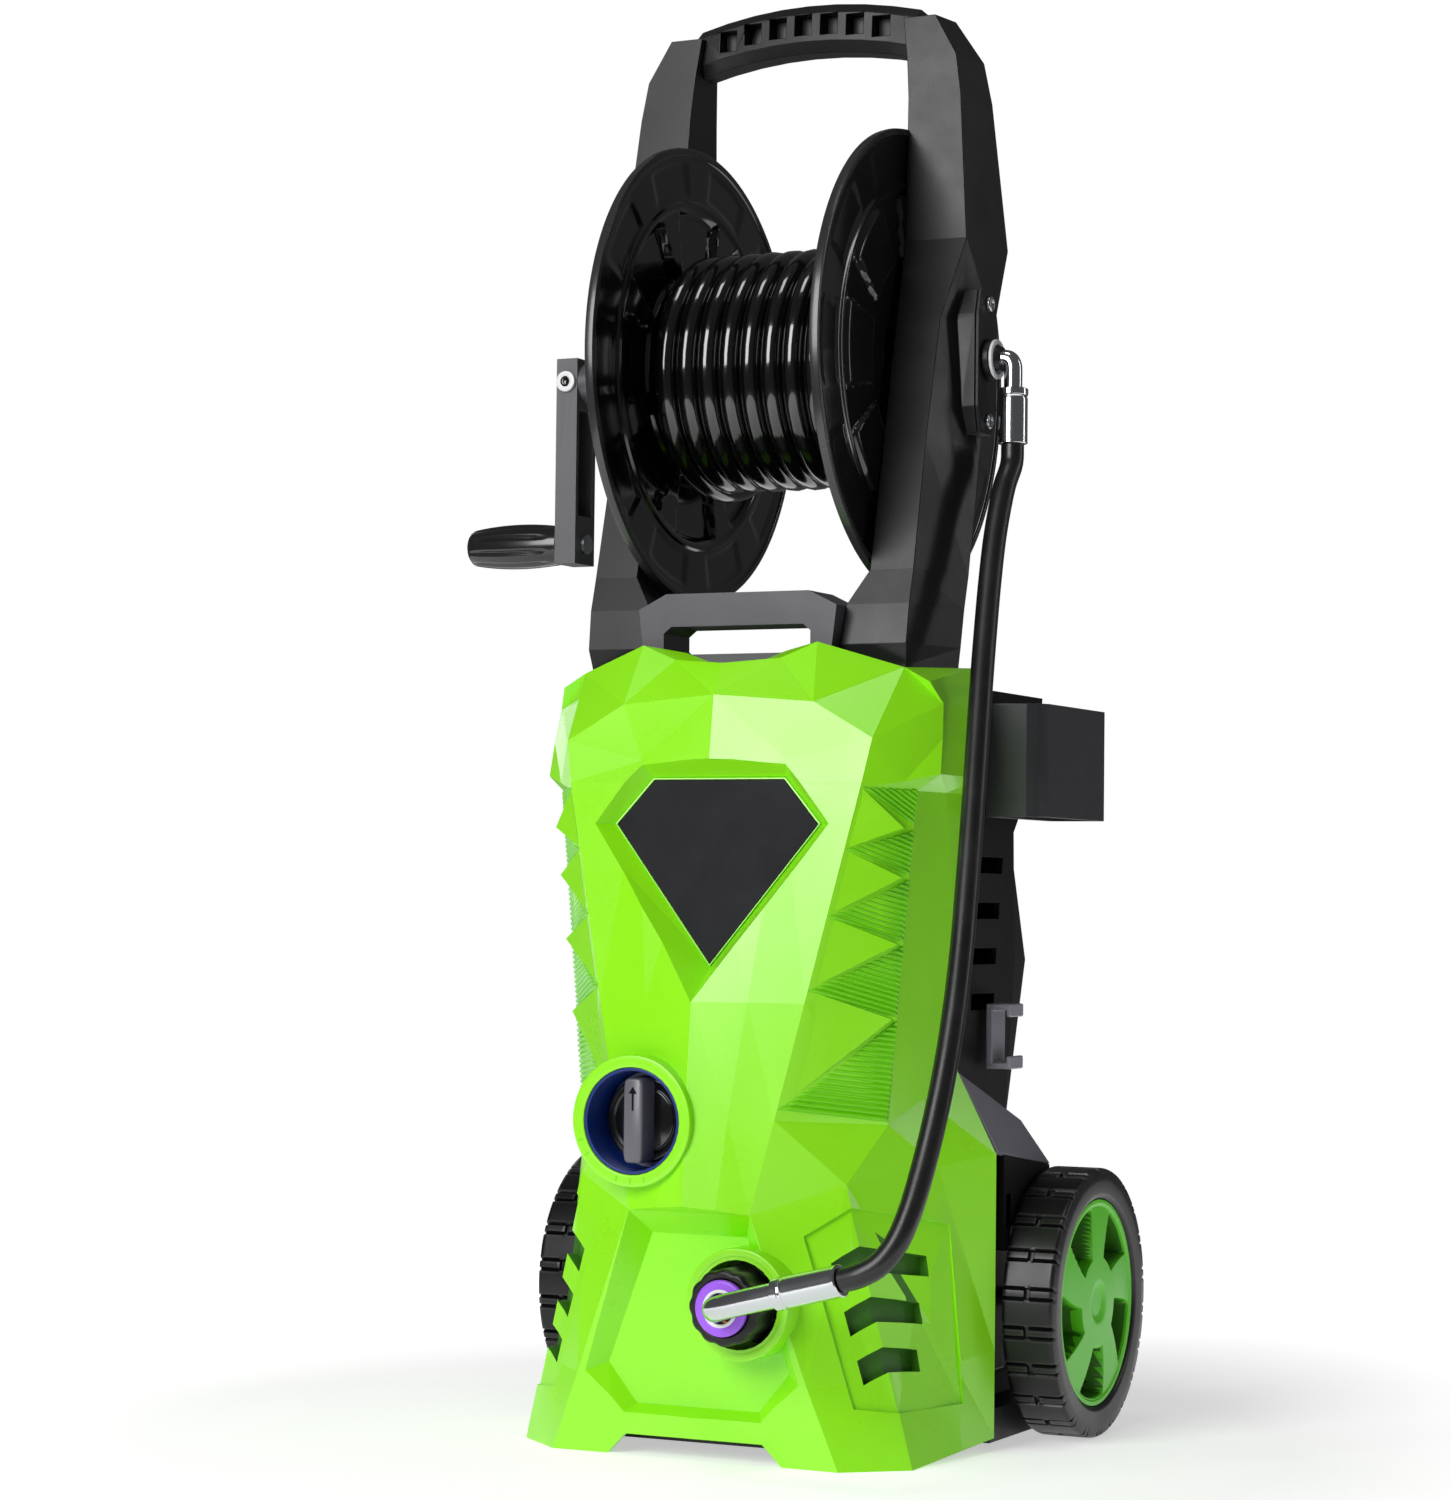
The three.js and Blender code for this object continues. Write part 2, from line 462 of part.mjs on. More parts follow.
const connectingHose = () => tube(leadRoute, leadD / 2, 34, 8);
const upperElbow = () => tube([[130.6, reelY, reelZ], [136, reelY, reelZ],
  [139.4, reelY, reelZ - 0.8], [141.4, reelY, reelZ - 3.4], [142, reelY, reelZ - 7],
  [142, reelY, reelZ - 18]], 5.6, 12, 10);
const swivelPlate = () => loft([[-12, -46], [6, -46], [14, -30], [14, 26], [6, 42], [-12, 42],
  [-16, 26], [-16, -30]].map(([y, z]) => [[swivelX + 0.2, reelY + y, reelZ + z],
  [swivelX + 2.4, reelY + y, reelZ + z]]).reduce((r, p) => [[...r[0], p[0]], [...r[1], p[1]]],
  [[], []])).subtract(rod(9, 100, 140, 20, 'x', 0, reelY, reelZ));
const swivelBody = () => turned([[4.6, swivelX + 2.8], [12.6, swivelX + 2.8], [12.6, swivelX + 6.6],
  [8.6, swivelX + 6.6], [8.6, swivelX + 9], [7.4, swivelX + 12], [4.6, swivelX + 12],
  [4.6, swivelX + 2.8]], 16, 'x', 0, reelY, reelZ)
  .subtract(rod(5.9, swivelX + 6.8, 150, 16, 'x', 0, reelY, reelZ));
const swivelSeal = () => ring(8.9, 12.2, swivelX + 7, swivelX + 9, 20, 'x', 0, reelY, reelZ);
const plateBolt = (z) => turned([[0, swivelX + 2.7], [4.6, swivelX + 2.7], [4.6, swivelX + 5.4],
  [2.6, swivelX + 5.4], [2.2, swivelX + 4], [0, swivelX + 4]], 12, 'x', 0, reelY - 1, reelZ + z);
// ---------- reel ----------
function sidePlate(side) {
  const p = [[drumR - 16, 0], [112, 1.2], [136, -1.6], [flangeR - 1, -1.6], [flangeR, 2],
    [136, 2.4], [112, 5.2], [drumR - 16, 4]];
  return turned([...p, p[0]].map(([r, h]) => [r, side * (flangeX + h * 0.9)]),
    36, 'x', 0, reelY, reelZ);
}
function reelDrum() {
  const end = flangeX - gap;
  // a tube closed in part by a web at each end, with a boss for the spindle
  const web = (x0, x1) => ring(8.4, drumR - 1, x0, x1, 24, 'x', 0, reelY, reelZ);
  let s = ring(drumR - 4, drumR, -end, end, 24, 'x', 0, reelY, reelZ)
    .add(web(-end, -end + 3)).add(web(end - 3, end));
  for (let i = 0; i < 5; i++) {
    const hole = box(-100, 100, -11, 11, 20, 42).rotate([i * 72, 0, 0]);
    s = s.subtract(hole.translate([0, reelY, reelZ]));
  }
  return s;
}
const spindle = () => turned([[0, crankX - 6], [spindleR, crankX - 6], [spindleR, -78], [8.1, -78],
  [8.1, 78], [spindleR, 78], [spindleR, 122], [4.4, 122], [4.4, swivelX + 6.4], [0, swivelX + 6.4]],
18, 'x', 0, reelY, reelZ).add(box(-50, -46, reelY - 3, reelY + 3, reelZ + 6, reelZ + 20));
function woundHose() {
  const pitch = 2 * (flangeX - 1.2) / woundTurns;
  const points = [[drumR + gap, -flangeX + 1.2]];
  for (let i = 0; i < woundTurns; i++) {
    for (let k = 0; k < 3; k++) {
      const a = Math.PI * (0.1 + 0.8 * k / 2);
      points.push([drumR + gap + hoseD / 2 + hoseD / 2 * Math.sin(a),
        -flangeX + 1.2 + pitch * (i + 0.5 - 0.5 * Math.cos(a))]);
    }
  }
  points.push([drumR + gap, flangeX - 1.2], points[0]);
  return turned(points, 24, 'x', 0, reelY, reelZ);
}
const endR = drumR + hoseD + 9.44;   // the hose's free end lies on the winding
const hoseEnd = () => turned([[0, 0], [6.2, 0], [6.2, 9], [7.6, 9], [7.6, 16], [5.4, 17.5],
  [5.4, 24], [6.6, 25.4], [6.6, 30], [3.6, 30], [3.6, 8], [0, 8]], 14, 'x', 22,
reelY + 0.833 * endR, reelZ + 0.553 * endR);
// ---------- crank ----------
function crankArm() {
  const low = reelZ - crankDrop;
  let s = box(crankX - 7.5, crankX + 7.5, reelY - 13, reelY + 13, low - 13, reelZ + 15);
  s = s.add(rod(12.6, crankX - 7.5, crankX + 17, 28, 'x', 0, reelY, reelZ));
  s = s.subtract(box(crankX - 3.5, crankX + 9, reelY - 9.5, reelY + 9.5, low + 18, reelZ - 18));
  s = s.subtract(rod(spindleR + gap, crankX - 6.4, crankX + 30, 24, 'x', 0, reelY, reelZ));
  s = s.subtract(rod(4.4 + gap, -220, -100, 20, 'x', 0, reelY, low));
  return s.subtract(rod(3.2, reelY - 20, reelY - 6, 16, 'y', crankX, 0, reelZ));
}
const crankScrew = () => turned([[0, reelY - 15.4], [2, reelY - 15.4], [2, reelY - 14.2],
  [4.8, reelY - 14.2], [5.4, reelY - 13.3], [2.8, reelY - 13.3], [2.8, reelY - 8.2],
  [0, reelY - 8.2]], 20, 'y', crankX, 0, reelZ);
const gripPin = () => turned([[0, crankX + 10], [6.4, crankX + 10], [6.4, crankX + 7.8],
  [4.4, crankX + 7.8], [4.4, crankX - gripLong - 4], [0, crankX - gripLong - 4]],
20, 'x', 0, reelY, reelZ - crankDrop);
const crankGrip = () => turned([[5.2, -8.4], [10.5, -8.4], [12.4, -11], [gripR - 0.6, -20],
  [gripR - 0.8, -56], [12.6, -68], [9, -74.6], [0, -76], [0, -73.4], [5.2, -73.4],
  [5.2, -8.4]].map(([r, h]) => [r, crankX + h * (gripLong + 8) / 76]),
18, 'x', 0, reelY, reelZ - crankDrop);
// ---------- wheels ----------
function tyre(side) {
  const p = [[rimR, wheelIn + 3], [74, wheelIn], [80, wheelIn + 2], [wheelR, wheelIn + 6],
    [wheelR, wheelOutX - 6], [80, wheelOutX - 2], [75, wheelOutX], [rimR, wheelOutX - 2]];
  return turned([...p, p[0]].map(([r, h]) => [r, side * h]), 36, 'x', 0, 0, wheelR);
}
function rim(side) {
  const p = [[axleR + runGap, wheelIn + 2], [15, wheelIn + 2], [17, wheelIn + 12],
    [58, wheelIn + 14], [59, wheelIn + 3.5], [rimR - gap, wheelIn + 3.5],
    [rimR - gap, wheelOutX - 2.4], [58.6, wheelOutX - 1.6], [57, wheelOutX - 7],
    [13.2, wheelOutX - 5], [13.2, wheelOutX - 9], [axleR + runGap, wheelOutX - 9]];
  let s = turned([...p, p[0]].map(([r, h]) => [r, side * h]), 28, 'x', 0, 0, wheelR);
  for (let i = 0; i < 5; i++) {
    const window = loft([wheelIn - 20, wheelOutX + 20].map((x) => [[-4, 24], [4, 24],
      [20, 46], [0, 55], [-20, 46]].map(([y, z]) => [side * x, y, z])));
    s = s.subtract(window.rotate([(i + 0.5) * 72, 0, 0]).translate([0, 0, wheelR]));
  }
  return s;
}
const hubCap = (side) => turned([[0, wheelOutX - 8.6], [12.8, wheelOutX - 8.6],
  [12.8, wheelOutX - 3.2], [11, wheelOutX - 1], [6, wheelOutX + 0.2], [0, wheelOutX + 0.4]]
  .map(([r, h]) => [r, side * h]), 20, 'x', 0, 0, wheelR);
const wheelAxle = () => rod(axleR, 9 - wheelOutX, wheelOutX - 9, 20, 'x', 0, 0, wheelR);
// ---------- motor and pump ----------
const motorShell = () => turned([[40, 156.4], [44, 156.4], [motorR, 168], [motorR, 352], [44, 362],
  [12, 362], [12, 359], [42, 359], [motorR - 3, 350], [motorR - 3, 170], [40, 160],
  [40, 156.4]], 20, 'z', 0, 0, 0);
const motorPart = (s) => s.translate([0, motorY, 0]);
const stator = () => ring(33, motorR - 3.9, 236, 318, 20, 'z', 0, 0, 0);
const rotor = () => turned([[0, 172], [shaftR, 172], [shaftR, 240], [32, 240], [32, 314],
  [shaftR, 314], [shaftR, 392], [0, 392]], 14, 'z', 0, 0, 0);
function fan() {
  let s = ring(shaftR + gap, 14, 368, 384, 12, 'z', 0, 0, 0)
    .add(ring(shaftR + gap, 40, 368, 370.5, 18, 'z', 0, 0, 0));
  for (let i = 0; i < 6; i++) {
    s = s.add(box(12, 39, -1.2, 1.2, 369, 384).rotate([0, 0, i * 60]));
  }
  return s;
}
const swashPlate = () => loft([0, 1].map((k) => [...Array(20).keys()].map((i) => {
  const a = 2 * Math.PI * i / 20;
  return [26 * Math.cos(a), 26 * Math.sin(a), k ? 194 : 180 + 3.6 * Math.cos(a)];
}))).subtract(rod(shaftR + gap, 100, 300, 14, 'z', 0, 0, 0));
function pumpHead() {
  let s = turned([[0, 76], [40, 76], [44, 82], [44, 150], [38, 156], [0, 156]], 14, 'z', 0, 0, 0);
  for (let i = 0; i < 3; i++) {
    const a = Math.PI / 2 + i * 2 * Math.PI / 3;
    s = s.subtract(rod(6.6, 110, 170, 14, 'z', 19 * Math.cos(a), 19 * Math.sin(a), 0));
  }
  s = motorPart(s);
  s = s.subtract(rod(14, -160, -104, 14, 'y', outletX, 0, outletZ));
  return s.add(ring(14, 19, -149, -100, 14, 'y', outletX, 0, outletZ).subtract(
    motorPart(rod(40, 70, 160, 20, 'z', 0, 0, 0))));
}
function piston(i) {
  const a = Math.PI / 2 + i * 2 * Math.PI / 3;
  return motorPart(rod(6, 126, 175.4, 12, 'z', 19 * Math.cos(a), 19 * Math.sin(a), 0)
    .add(rod(8, 171.4, 175.4, 12, 'z', 19 * Math.cos(a), 19 * Math.sin(a), 0)));
}
const inlet = () => turned([[5, -44], [13, -44], [13, -28], [10, -24], [10, 44], [13.5, 46],
  [13.5, 62], [9, 62], [9, 48], [5, 44], [5, -44]], 14, 'y', inletX, 0, inletZ);
const inletFilter = () => turned([[2, 49], [8.6, 49], [8.6, 60], [7.4, 60], [7.4, 51], [2, 51],
  [2, 49]], 12, 'y', inletX, 0, inletZ);
const gland = () => turned([[4.4, 40], [9.7, 40], [9.7, 57], [13, 57], [13, 60], [9, 62],
  [6.6, 78], [4.4, 78], [4.4, 40]], 12, 'y', -60, 0, 150);
function capacitor() {
  const away = motorR + capacitorR + 3.5;
  const [x, y] = [0.91 * away, motorY - 0.4138 * away];
  return rod(capacitorR, 236, 306, 18, 'z', x, y, 0)
    .add(box(x - 8, x - 4, y - 2, y + 2, 304, 314)).add(box(x + 4, x + 8, y - 2, y + 2, 304, 314));
}

for (const [word, side] of [['left', -1], ['right', 1]]) {
  add(`${word}_upright`, uprightPiece(side), satin);
  add(`${word}_fender`, fender(side), greyViolet);
  add(`${word}_side_plate`, sidePlate(side), gloss);
  add(`${word}_tyre`, tyre(side), rubber);
  add(`${word}_rim`, rim(side), paint(0x55c71e, 0.4));
  add(`${word}_hub_cap`, hubCap(side), green);
}
add('front_cover', frontCover(), green);
add('rear_cover', rearCover(), black);
add('base_tray', baseTray(), black);
add('badge_plate', badgePlate(), paint(0x2b2a30, 0.35));
add('handle_bar', handleBar(), black);
add('carry_bridge', carryBridge(), greyViolet);
add('gun_holder', gunHolder(), greyViolet);
add('cord_hook', cordHook(), paint(0x8a8892, 0.45));
add('knob_cup', knobCup(), paint(0x0e2a63, 0.35));
add('knob_disc', knobDisc(), gloss);
add('knob_grip', knobGrip(), paint(0x3a3a3e, 0.4));
add('switch_box', switchBox(), black);
add('outlet_port', outletPort(), brass);
add('outlet_collar', outletCollar(), black);
add('outlet_seal', outletSeal(), paint(0xb070f0, 0.35));
add('outlet_elbow', outletElbow(), steel);
add('lower_ferrule', lowerFerrule(), steel);
add('connecting_hose', connectingHose(), rubber);
add('upper_ferrule', upperFerrule(), steel);
add('upper_elbow', upperElbow(), steel);
add('swivel_plate', swivelPlate(), steel);
add('swivel_body', swivelBody(), black);
add('swivel_seal', swivelSeal(), paint(0xe8e8ea, 0.4));
add('plate_bolt_upper', plateBolt(34), steel);
add('plate_bolt_lower', plateBolt(-38), steel);
add('reel_drum', reelDrum(), gloss);
add('reel_spindle', spindle(), steel);
add('wound_hose', woundHose(), gloss);
add('hose_end', hoseEnd(), steel);
add('crank_arm', crankArm(), black);
add('crank_screw', crankScrew(), paint(0xdcdde0, 0.3, 0.6));
add('crank_pin', gripPin(), steel);
add('crank_grip', crankGrip(), black);
add('wheel_axle', wheelAxle(), steel);
add('motor_shell', motorPart(motorShell()), paint(0x9a9da2, 0.45, 0.8));
add('motor_stator', motorPart(stator()), paint(0xa4572a, 0.4, 0.6));
add('motor_rotor', motorPart(rotor()), steel);
add('motor_fan', motorPart(fan()), black);
add('swash_plate', motorPart(swashPlate()), steel);
add('pump_head', pumpHead(), paint(0xb4b7bb, 0.4, 0.9));
for (const i of [0, 1, 2]) add(`pump_piston_${i + 1}`, piston(i), steel);
add('water_inlet', inlet(), brass);
add('inlet_filter', inletFilter(), paint(0xe6e6e0, 0.5));
add('cable_gland', gland(), black);
add('run_capacitor', capacitor(), paint(0xd9d9d4, 0.4));

// origin: under the middle of the bounding box, on the floor

const bounds = new THREE.Box3();
for (const m of group.children) {
  m.geometry.computeBoundingBox();
  if (m.name !== 'connecting_hose') bounds.union(m.geometry.boundingBox);
}
const centre = bounds.getCenter(new THREE.Vector3());
group.children.forEach((m) => m.geometry.translate(-centre.x, -centre.y, 0));
export default group;
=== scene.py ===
import json
import math

import bmesh
import bpy
import numpy as np
from mathutils import Matrix, Vector


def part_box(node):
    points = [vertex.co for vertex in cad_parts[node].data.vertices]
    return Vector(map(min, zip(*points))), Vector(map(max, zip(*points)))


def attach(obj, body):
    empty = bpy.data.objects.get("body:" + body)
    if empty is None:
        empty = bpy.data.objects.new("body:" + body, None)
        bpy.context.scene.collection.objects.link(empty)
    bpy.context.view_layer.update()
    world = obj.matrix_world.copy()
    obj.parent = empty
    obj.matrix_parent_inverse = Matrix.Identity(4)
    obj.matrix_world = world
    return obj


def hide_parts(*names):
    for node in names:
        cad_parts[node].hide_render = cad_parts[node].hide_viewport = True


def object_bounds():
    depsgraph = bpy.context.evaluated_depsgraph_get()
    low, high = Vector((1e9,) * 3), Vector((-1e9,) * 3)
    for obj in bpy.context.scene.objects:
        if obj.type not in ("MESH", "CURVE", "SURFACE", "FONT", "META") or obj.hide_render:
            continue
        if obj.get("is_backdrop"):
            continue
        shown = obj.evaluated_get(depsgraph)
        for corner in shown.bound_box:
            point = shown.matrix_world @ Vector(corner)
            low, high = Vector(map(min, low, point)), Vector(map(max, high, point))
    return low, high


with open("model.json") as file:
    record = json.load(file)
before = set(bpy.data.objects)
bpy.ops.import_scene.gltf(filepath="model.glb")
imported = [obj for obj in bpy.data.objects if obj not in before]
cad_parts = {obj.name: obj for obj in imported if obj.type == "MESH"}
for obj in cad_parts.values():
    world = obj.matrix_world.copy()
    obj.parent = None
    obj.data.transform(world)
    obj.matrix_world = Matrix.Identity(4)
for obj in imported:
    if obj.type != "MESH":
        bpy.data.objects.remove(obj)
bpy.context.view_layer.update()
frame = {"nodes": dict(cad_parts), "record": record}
nodes = frame["nodes"]
bodyOf = {n: b for b, names in frame["record"]["behaviour"]["bodies"].items() for n in names}

# design frame: x from the mid plane, y from the wheel axle, z from the floor, in millimetres
axleLow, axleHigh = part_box("wheel_axle")
midX = (axleLow[0] + axleHigh[0]) / 2
axleY = (axleLow[1] + axleHigh[1]) / 2
axleZ = (axleLow[2] + axleHigh[2]) / 2 * 1000


def place(x, y, z):
    # one design point to metres
    return (midX + x / 1000, axleY + y / 1000, z / 1000)


def inMetres(points):
    # whole array of design points to metres
    return np.asarray(points, float) / 1000 + np.array([midX, axleY, 0.0])


# camera: a long lens a little below the shoulders of the cover
camera = {"lens": 87.0, "shiftY": 0.0065, "yaw": 26.124, "pitch": 2.225, "roll": 0.66,
          "from": (953.4, -2119.8, 327.4)}
camData = bpy.data.cameras.new("camera")
cam = bpy.data.objects.new("camera", camData)
bpy.context.scene.collection.objects.link(cam)
bpy.context.scene.camera = cam
camData.lens = camera["lens"]
camData.sensor_width = 36
camData.shift_y = camera["shiftY"]
camData.clip_end = 40
yaw, pitch, roll = (math.radians(camera[k]) for k in ("yaw", "pitch", "roll"))
ahead = Vector((-math.sin(yaw) * math.cos(pitch), math.cos(yaw) * math.cos(pitch), math.sin(pitch)))
right = Vector((math.cos(yaw), math.sin(yaw), 0))
up = right.cross(ahead)
rolledRight = right * math.cos(roll) + up * math.sin(roll)
rolledUp = up * math.cos(roll) - right * math.sin(roll)
turn = Matrix((rolledRight, rolledUp, -ahead)).transposed().to_4x4()
cam.matrix_world = Matrix.Translation(Vector(place(*camera["from"]))) @ turn
print("stage: camera")


def srgb(code):
    # hex colour to linear values
    c = [int(code[i:i + 2], 16) / 255 for i in (0, 2, 4)]
    return tuple(v / 12.92 if v <= 0.04045 else ((v + 0.055) / 1.055) ** 2.4 for v in c)


def surface(name, colour, second, rough, metal=0.0, mottle=0.5, grain=0.06, grainSize=900.0,
            coat=0.0, coatRough=0.12, dust=0.15, scuff=0.0, shine=0.5):
    # broad noise drifts between two near colours, a finer one adds dust and scatters the
    # roughness, a fine one is the moulded grain; the edge term lightens raised edges by
    # pointiness, as edge wear, and on the tyre as a painted highlight on the lug edges
    m = bpy.data.materials.new(name)
    m.use_nodes = True
    t = m.node_tree
    t.nodes.clear()

    def node(kind):
        return t.nodes.new("ShaderNode" + kind)

    out, bsdf, coord = node("OutputMaterial"), node("BsdfPrincipled"), node("TexCoord")
    t.links.new(bsdf.outputs[0], out.inputs[0])
    bsdf.inputs["Metallic"].default_value = metal
    bsdf.inputs["Specular IOR Level"].default_value = shine
    bsdf.inputs["Coat Weight"].default_value = coat
    bsdf.inputs["Coat Roughness"].default_value = coatRough

    def noise(scale, detail, roughness):
        n = node("TexNoise")
        n.inputs["Scale"].default_value = scale
        n.inputs["Detail"].default_value = detail
        n.inputs["Roughness"].default_value = roughness
        t.links.new(coord.outputs["Object"], n.inputs["Vector"])
        return n.outputs["Fac"]

    def ranged(source, a, b, low=0.3, high=0.7):
        r = node("MapRange")
        r.inputs["From Min"].default_value, r.inputs["From Max"].default_value = low, high
        r.inputs["To Min"].default_value, r.inputs["To Max"].default_value = a, b
        t.links.new(source, r.inputs["Value"])
        return r.outputs["Result"]

    def blend(first, colourB, factor):
        x = node("Mix")
        x.data_type = "RGBA"
        if isinstance(first, tuple):
            x.inputs["A"].default_value = (*first, 1)
        else:
            t.links.new(first, x.inputs["A"])
        x.inputs["B"].default_value = (*colourB, 1)
        t.links.new(factor, x.inputs["Factor"])
        return x.outputs["Result"]

    colourNow = blend(colour, second, ranged(noise(7.0, 3.0, 0.55), 0.0, mottle))
    colourNow = blend(colourNow, tuple(c * 0.8 + 0.06 for c in colour),
                      ranged(noise(55.0, 6.0, 0.7), -0.3 * dust, dust))
    # lighter raised edges: edge wear, and on the tyre a painted highlight
    if scuff:
        geo = node("NewGeometry")
        colourNow = blend(colourNow, tuple(min(1, c * 1.25 + 0.05) for c in colour),
                          ranged(geo.outputs["Pointiness"], 0.0, scuff, 0.51, 0.58))
    t.links.new(colourNow, bsdf.inputs["Base Color"])
    t.links.new(ranged(noise(24.0, 5.0, 0.6), rough * 0.85, min(1, rough * 1.18)),
                bsdf.inputs["Roughness"])
    bump = node("Bump")
    bump.inputs["Strength"].default_value = grain
    bump.inputs["Distance"].default_value = 0.0005
    t.links.new(noise(grainSize, 2.0, 0.5), bump.inputs["Height"])
    t.links.new(bump.outputs[0], bsdf.inputs["Normal"])
    return m


def finish(name, main, second, rough, **more):
    return surface(name, srgb(main), srgb(second), rough, **more)


paints = {
    "green": finish("greenShell", "90ea0c", "88e408", 0.3, mottle=0.4, grain=0.05, coat=0.35,
                    coatRough=0.22, dust=0.02, scuff=0.15),
    # darker green for the ribbed fields: painted shade between the ribs, the plastic is the shell's green
    "ribShadeGreen": finish("ribbedShadeGreen", "74d40c", "6ccc0a", 0.34, dust=0.02, coat=0.15),
    # dark green for faces inside the vent slots and the wheel windows: painted shade in these recesses
    "shadeGreen": finish("recessShadeGreen", "37780f", "2f6a0c", 0.5, dust=0.02),
    "rimGreen": finish("greenRim", "5fd412", "54c60e", 0.34, dust=0.03, scuff=0.2),
    "black": finish("blackShell", "0d0d0e", "121214", 0.38, grain=0.14, dust=0.03, scuff=0.1, shine=0.35),
    "fender": finish("fenderGrey", "7c7a86", "84828e", 0.4, grain=0.06, dust=0.04, scuff=0.2),
    # lighter grey for the outer rim of the reel flanges: a painted highlight on the gloss black bevel
    "reelRimHighlight": finish("reelRimHighlight", "2a2a2c", "303032", 0.25, grain=0.02, dust=0.02, coat=0.2),
    "rear": finish("rearBlack", "080809", "0c0c0d", 0.5, grain=0.14, dust=0.02, scuff=0.05, shine=0.2),
    "holder": finish("holderGrey", "2a2a2f", "313137", 0.34, grain=0.08, dust=0.04, scuff=0.2),
    "frame": finish("frameBlack", "0e0e0f", "141415", 0.36, grain=0.1, dust=0.03, scuff=0.12, shine=0.4),
    "grey": finish("greyViolet", "3a3940", "424048", 0.36, grain=0.08, dust=0.1, scuff=0.4),
    "crank": finish("crankGrey", "4a4a4d", "555558", 0.36, grain=0.1, dust=0.1, scuff=0.4),
    "grip": finish("gripBlack", "161617", "1c1c1e", 0.22, grain=0.04, coat=0.3, dust=0.02, scuff=0.3),
    "gloss": finish("glossBlack", "060607", "0b0b0c", 0.12, grain=0.01, coat=0.5, dust=0.04),
    "knob": finish("knobGrip", "5c5a62", "66646c", 0.34, grain=0.08, dust=0.1, scuff=0.3),
    "navy": finish("navyCup", "0c2c78", "081f5a", 0.3, dust=0.05),
    "badge": finish("badgeCharcoal", "1d1c21", "222127", 0.6, grain=0.04, dust=0.02, shine=0.15),
    # pale green of the bead round the badge: a painted highlight along the badge edge
    "line": finish("badgeHighlightBead", "b4ee70", "a8e660", 0.3, dust=0.05),
    "hook": finish("hookGrey", "8a8892", "7f7d87", 0.42, dust=0.1, scuff=0.3),
    "violet": finish("sealViolet", "a45cf0", "9350e0", 0.34, grain=0.03, dust=0.04),
    "white": finish("whiteSeal", "e6e6e8", "dcdcdf", 0.36, dust=0.05),
    "hose": finish("hoseRubber", "101012", "161618", 0.34, grain=0.12, dust=0.1),
    "wound": finish("woundHose", "060607", "0a0a0b", 0.14, grain=0.02, coat=0.8, coatRough=0.06,
                    dust=0.02),
    # the strong edge lightening on the tyre is a painted highlight along the lug edges
    "tyre": finish("tyreRubber", "0a0a0b", "0f0f10", 0.32, grain=0.05, dust=0.02, scuff=1.0, shine=0.4),
    "chrome": finish("chromePlate", "d4d6da", "c8cbd0", 0.16, metal=1.0, grain=0.02, dust=0.05),
    "steel": finish("machinedSteel", "b9bcc0", "aeb1b6", 0.28, metal=1.0, grain=0.08),
    "brass": finish("machinedBrass", "c8a24c", "b99345", 0.28, metal=1.0, grain=0.06),
    "cast": finish("castAlloy", "a3a6aa", "94979c", 0.5, metal=0.9, grain=0.4, grainSize=420.0),
    "copper": finish("copperWinding", "a4572a", "8f4a22", 0.35, metal=0.7, grain=0.3),
}
finishOf = {
    "green": "front_cover", "rimGreen": "left_hub_cap right_hub_cap left_rim right_rim",
    "rear": "rear_cover", "black": "base_tray handle_bar outlet_collar swivel_body swivel_plate switch_box "
             "motor_fan cable_gland",
    "crank": "crank_arm", "grip": "crank_grip", "frame": "left_upright right_upright", "knob": "knob_grip",
    "grey": "carry_bridge", "fender": "left_fender right_fender", "holder": "gun_holder",
    "gloss": "left_side_plate right_side_plate reel_drum knob_disc",
    "hose": "connecting_hose", "wound": "wound_hose", "navy": "knob_cup", "badge": "badge_plate",
    "hook": "cord_hook", "violet": "outlet_seal", "white": "swivel_seal inlet_filter run_capacitor",
    "tyre": "left_tyre right_tyre",
    "chrome": "outlet_elbow lower_ferrule upper_ferrule upper_elbow hose_end crank_screw",
    "brass": "outlet_port water_inlet", "cast": "pump_head motor_shell", "copper": "motor_stator",
}
paintOf = {n: p for p, names in finishOf.items() for n in names.split()}
for name, obj in nodes.items():
    obj.data.materials.clear()
    obj.data.materials.append(paints[paintOf.get(name, "steel")])
print("stage: materials")


def link(name, data, paint, node, stands=True):
    # new piece on the CAD node's body, standing for that node unless stands is false
    obj = bpy.data.objects.new(name, data)
    bpy.context.scene.collection.objects.link(obj)
    data.materials.clear()
    data.materials.append(paints[paint])
    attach(obj, bodyOf[node])
    if stands:
        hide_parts(node)
    return obj


def tidyMesh(mesh, angle):
    # merge seams and poles, turn faces outwards, keep edges sharper than the angle crisp
    bm = bmesh.new()
    bm.from_mesh(mesh)
    bmesh.ops.remove_doubles(bm, verts=bm.verts, dist=2e-6)
    bmesh.ops.dissolve_degenerate(bm, dist=1e-6, edges=bm.edges)
    bmesh.ops.recalc_face_normals(bm, faces=bm.faces)
    bm.to_mesh(mesh)
    bm.free()
    mesh.polygons.foreach_set("use_smooth", [True] * len(mesh.polygons))
    mesh.set_sharp_from_angle(angle=math.radians(angle))
    return mesh


def gridFaces(rows, cols, first, wrapRows, wrapCols):
    # corner numbers of the quads between neighbouring grid points, joined end to start if wrapped
    i, j = np.meshgrid(np.arange(rows - (not wrapRows)), np.arange(cols - (not wrapCols)),
                       indexing="ij")
    i2, j2 = (i + 1) % rows, (j + 1) % cols
    return np.stack([i * cols + j, i2 * cols + j, i2 * cols + j2, i * cols + j2], -1
                    ).reshape(-1, 4) + first


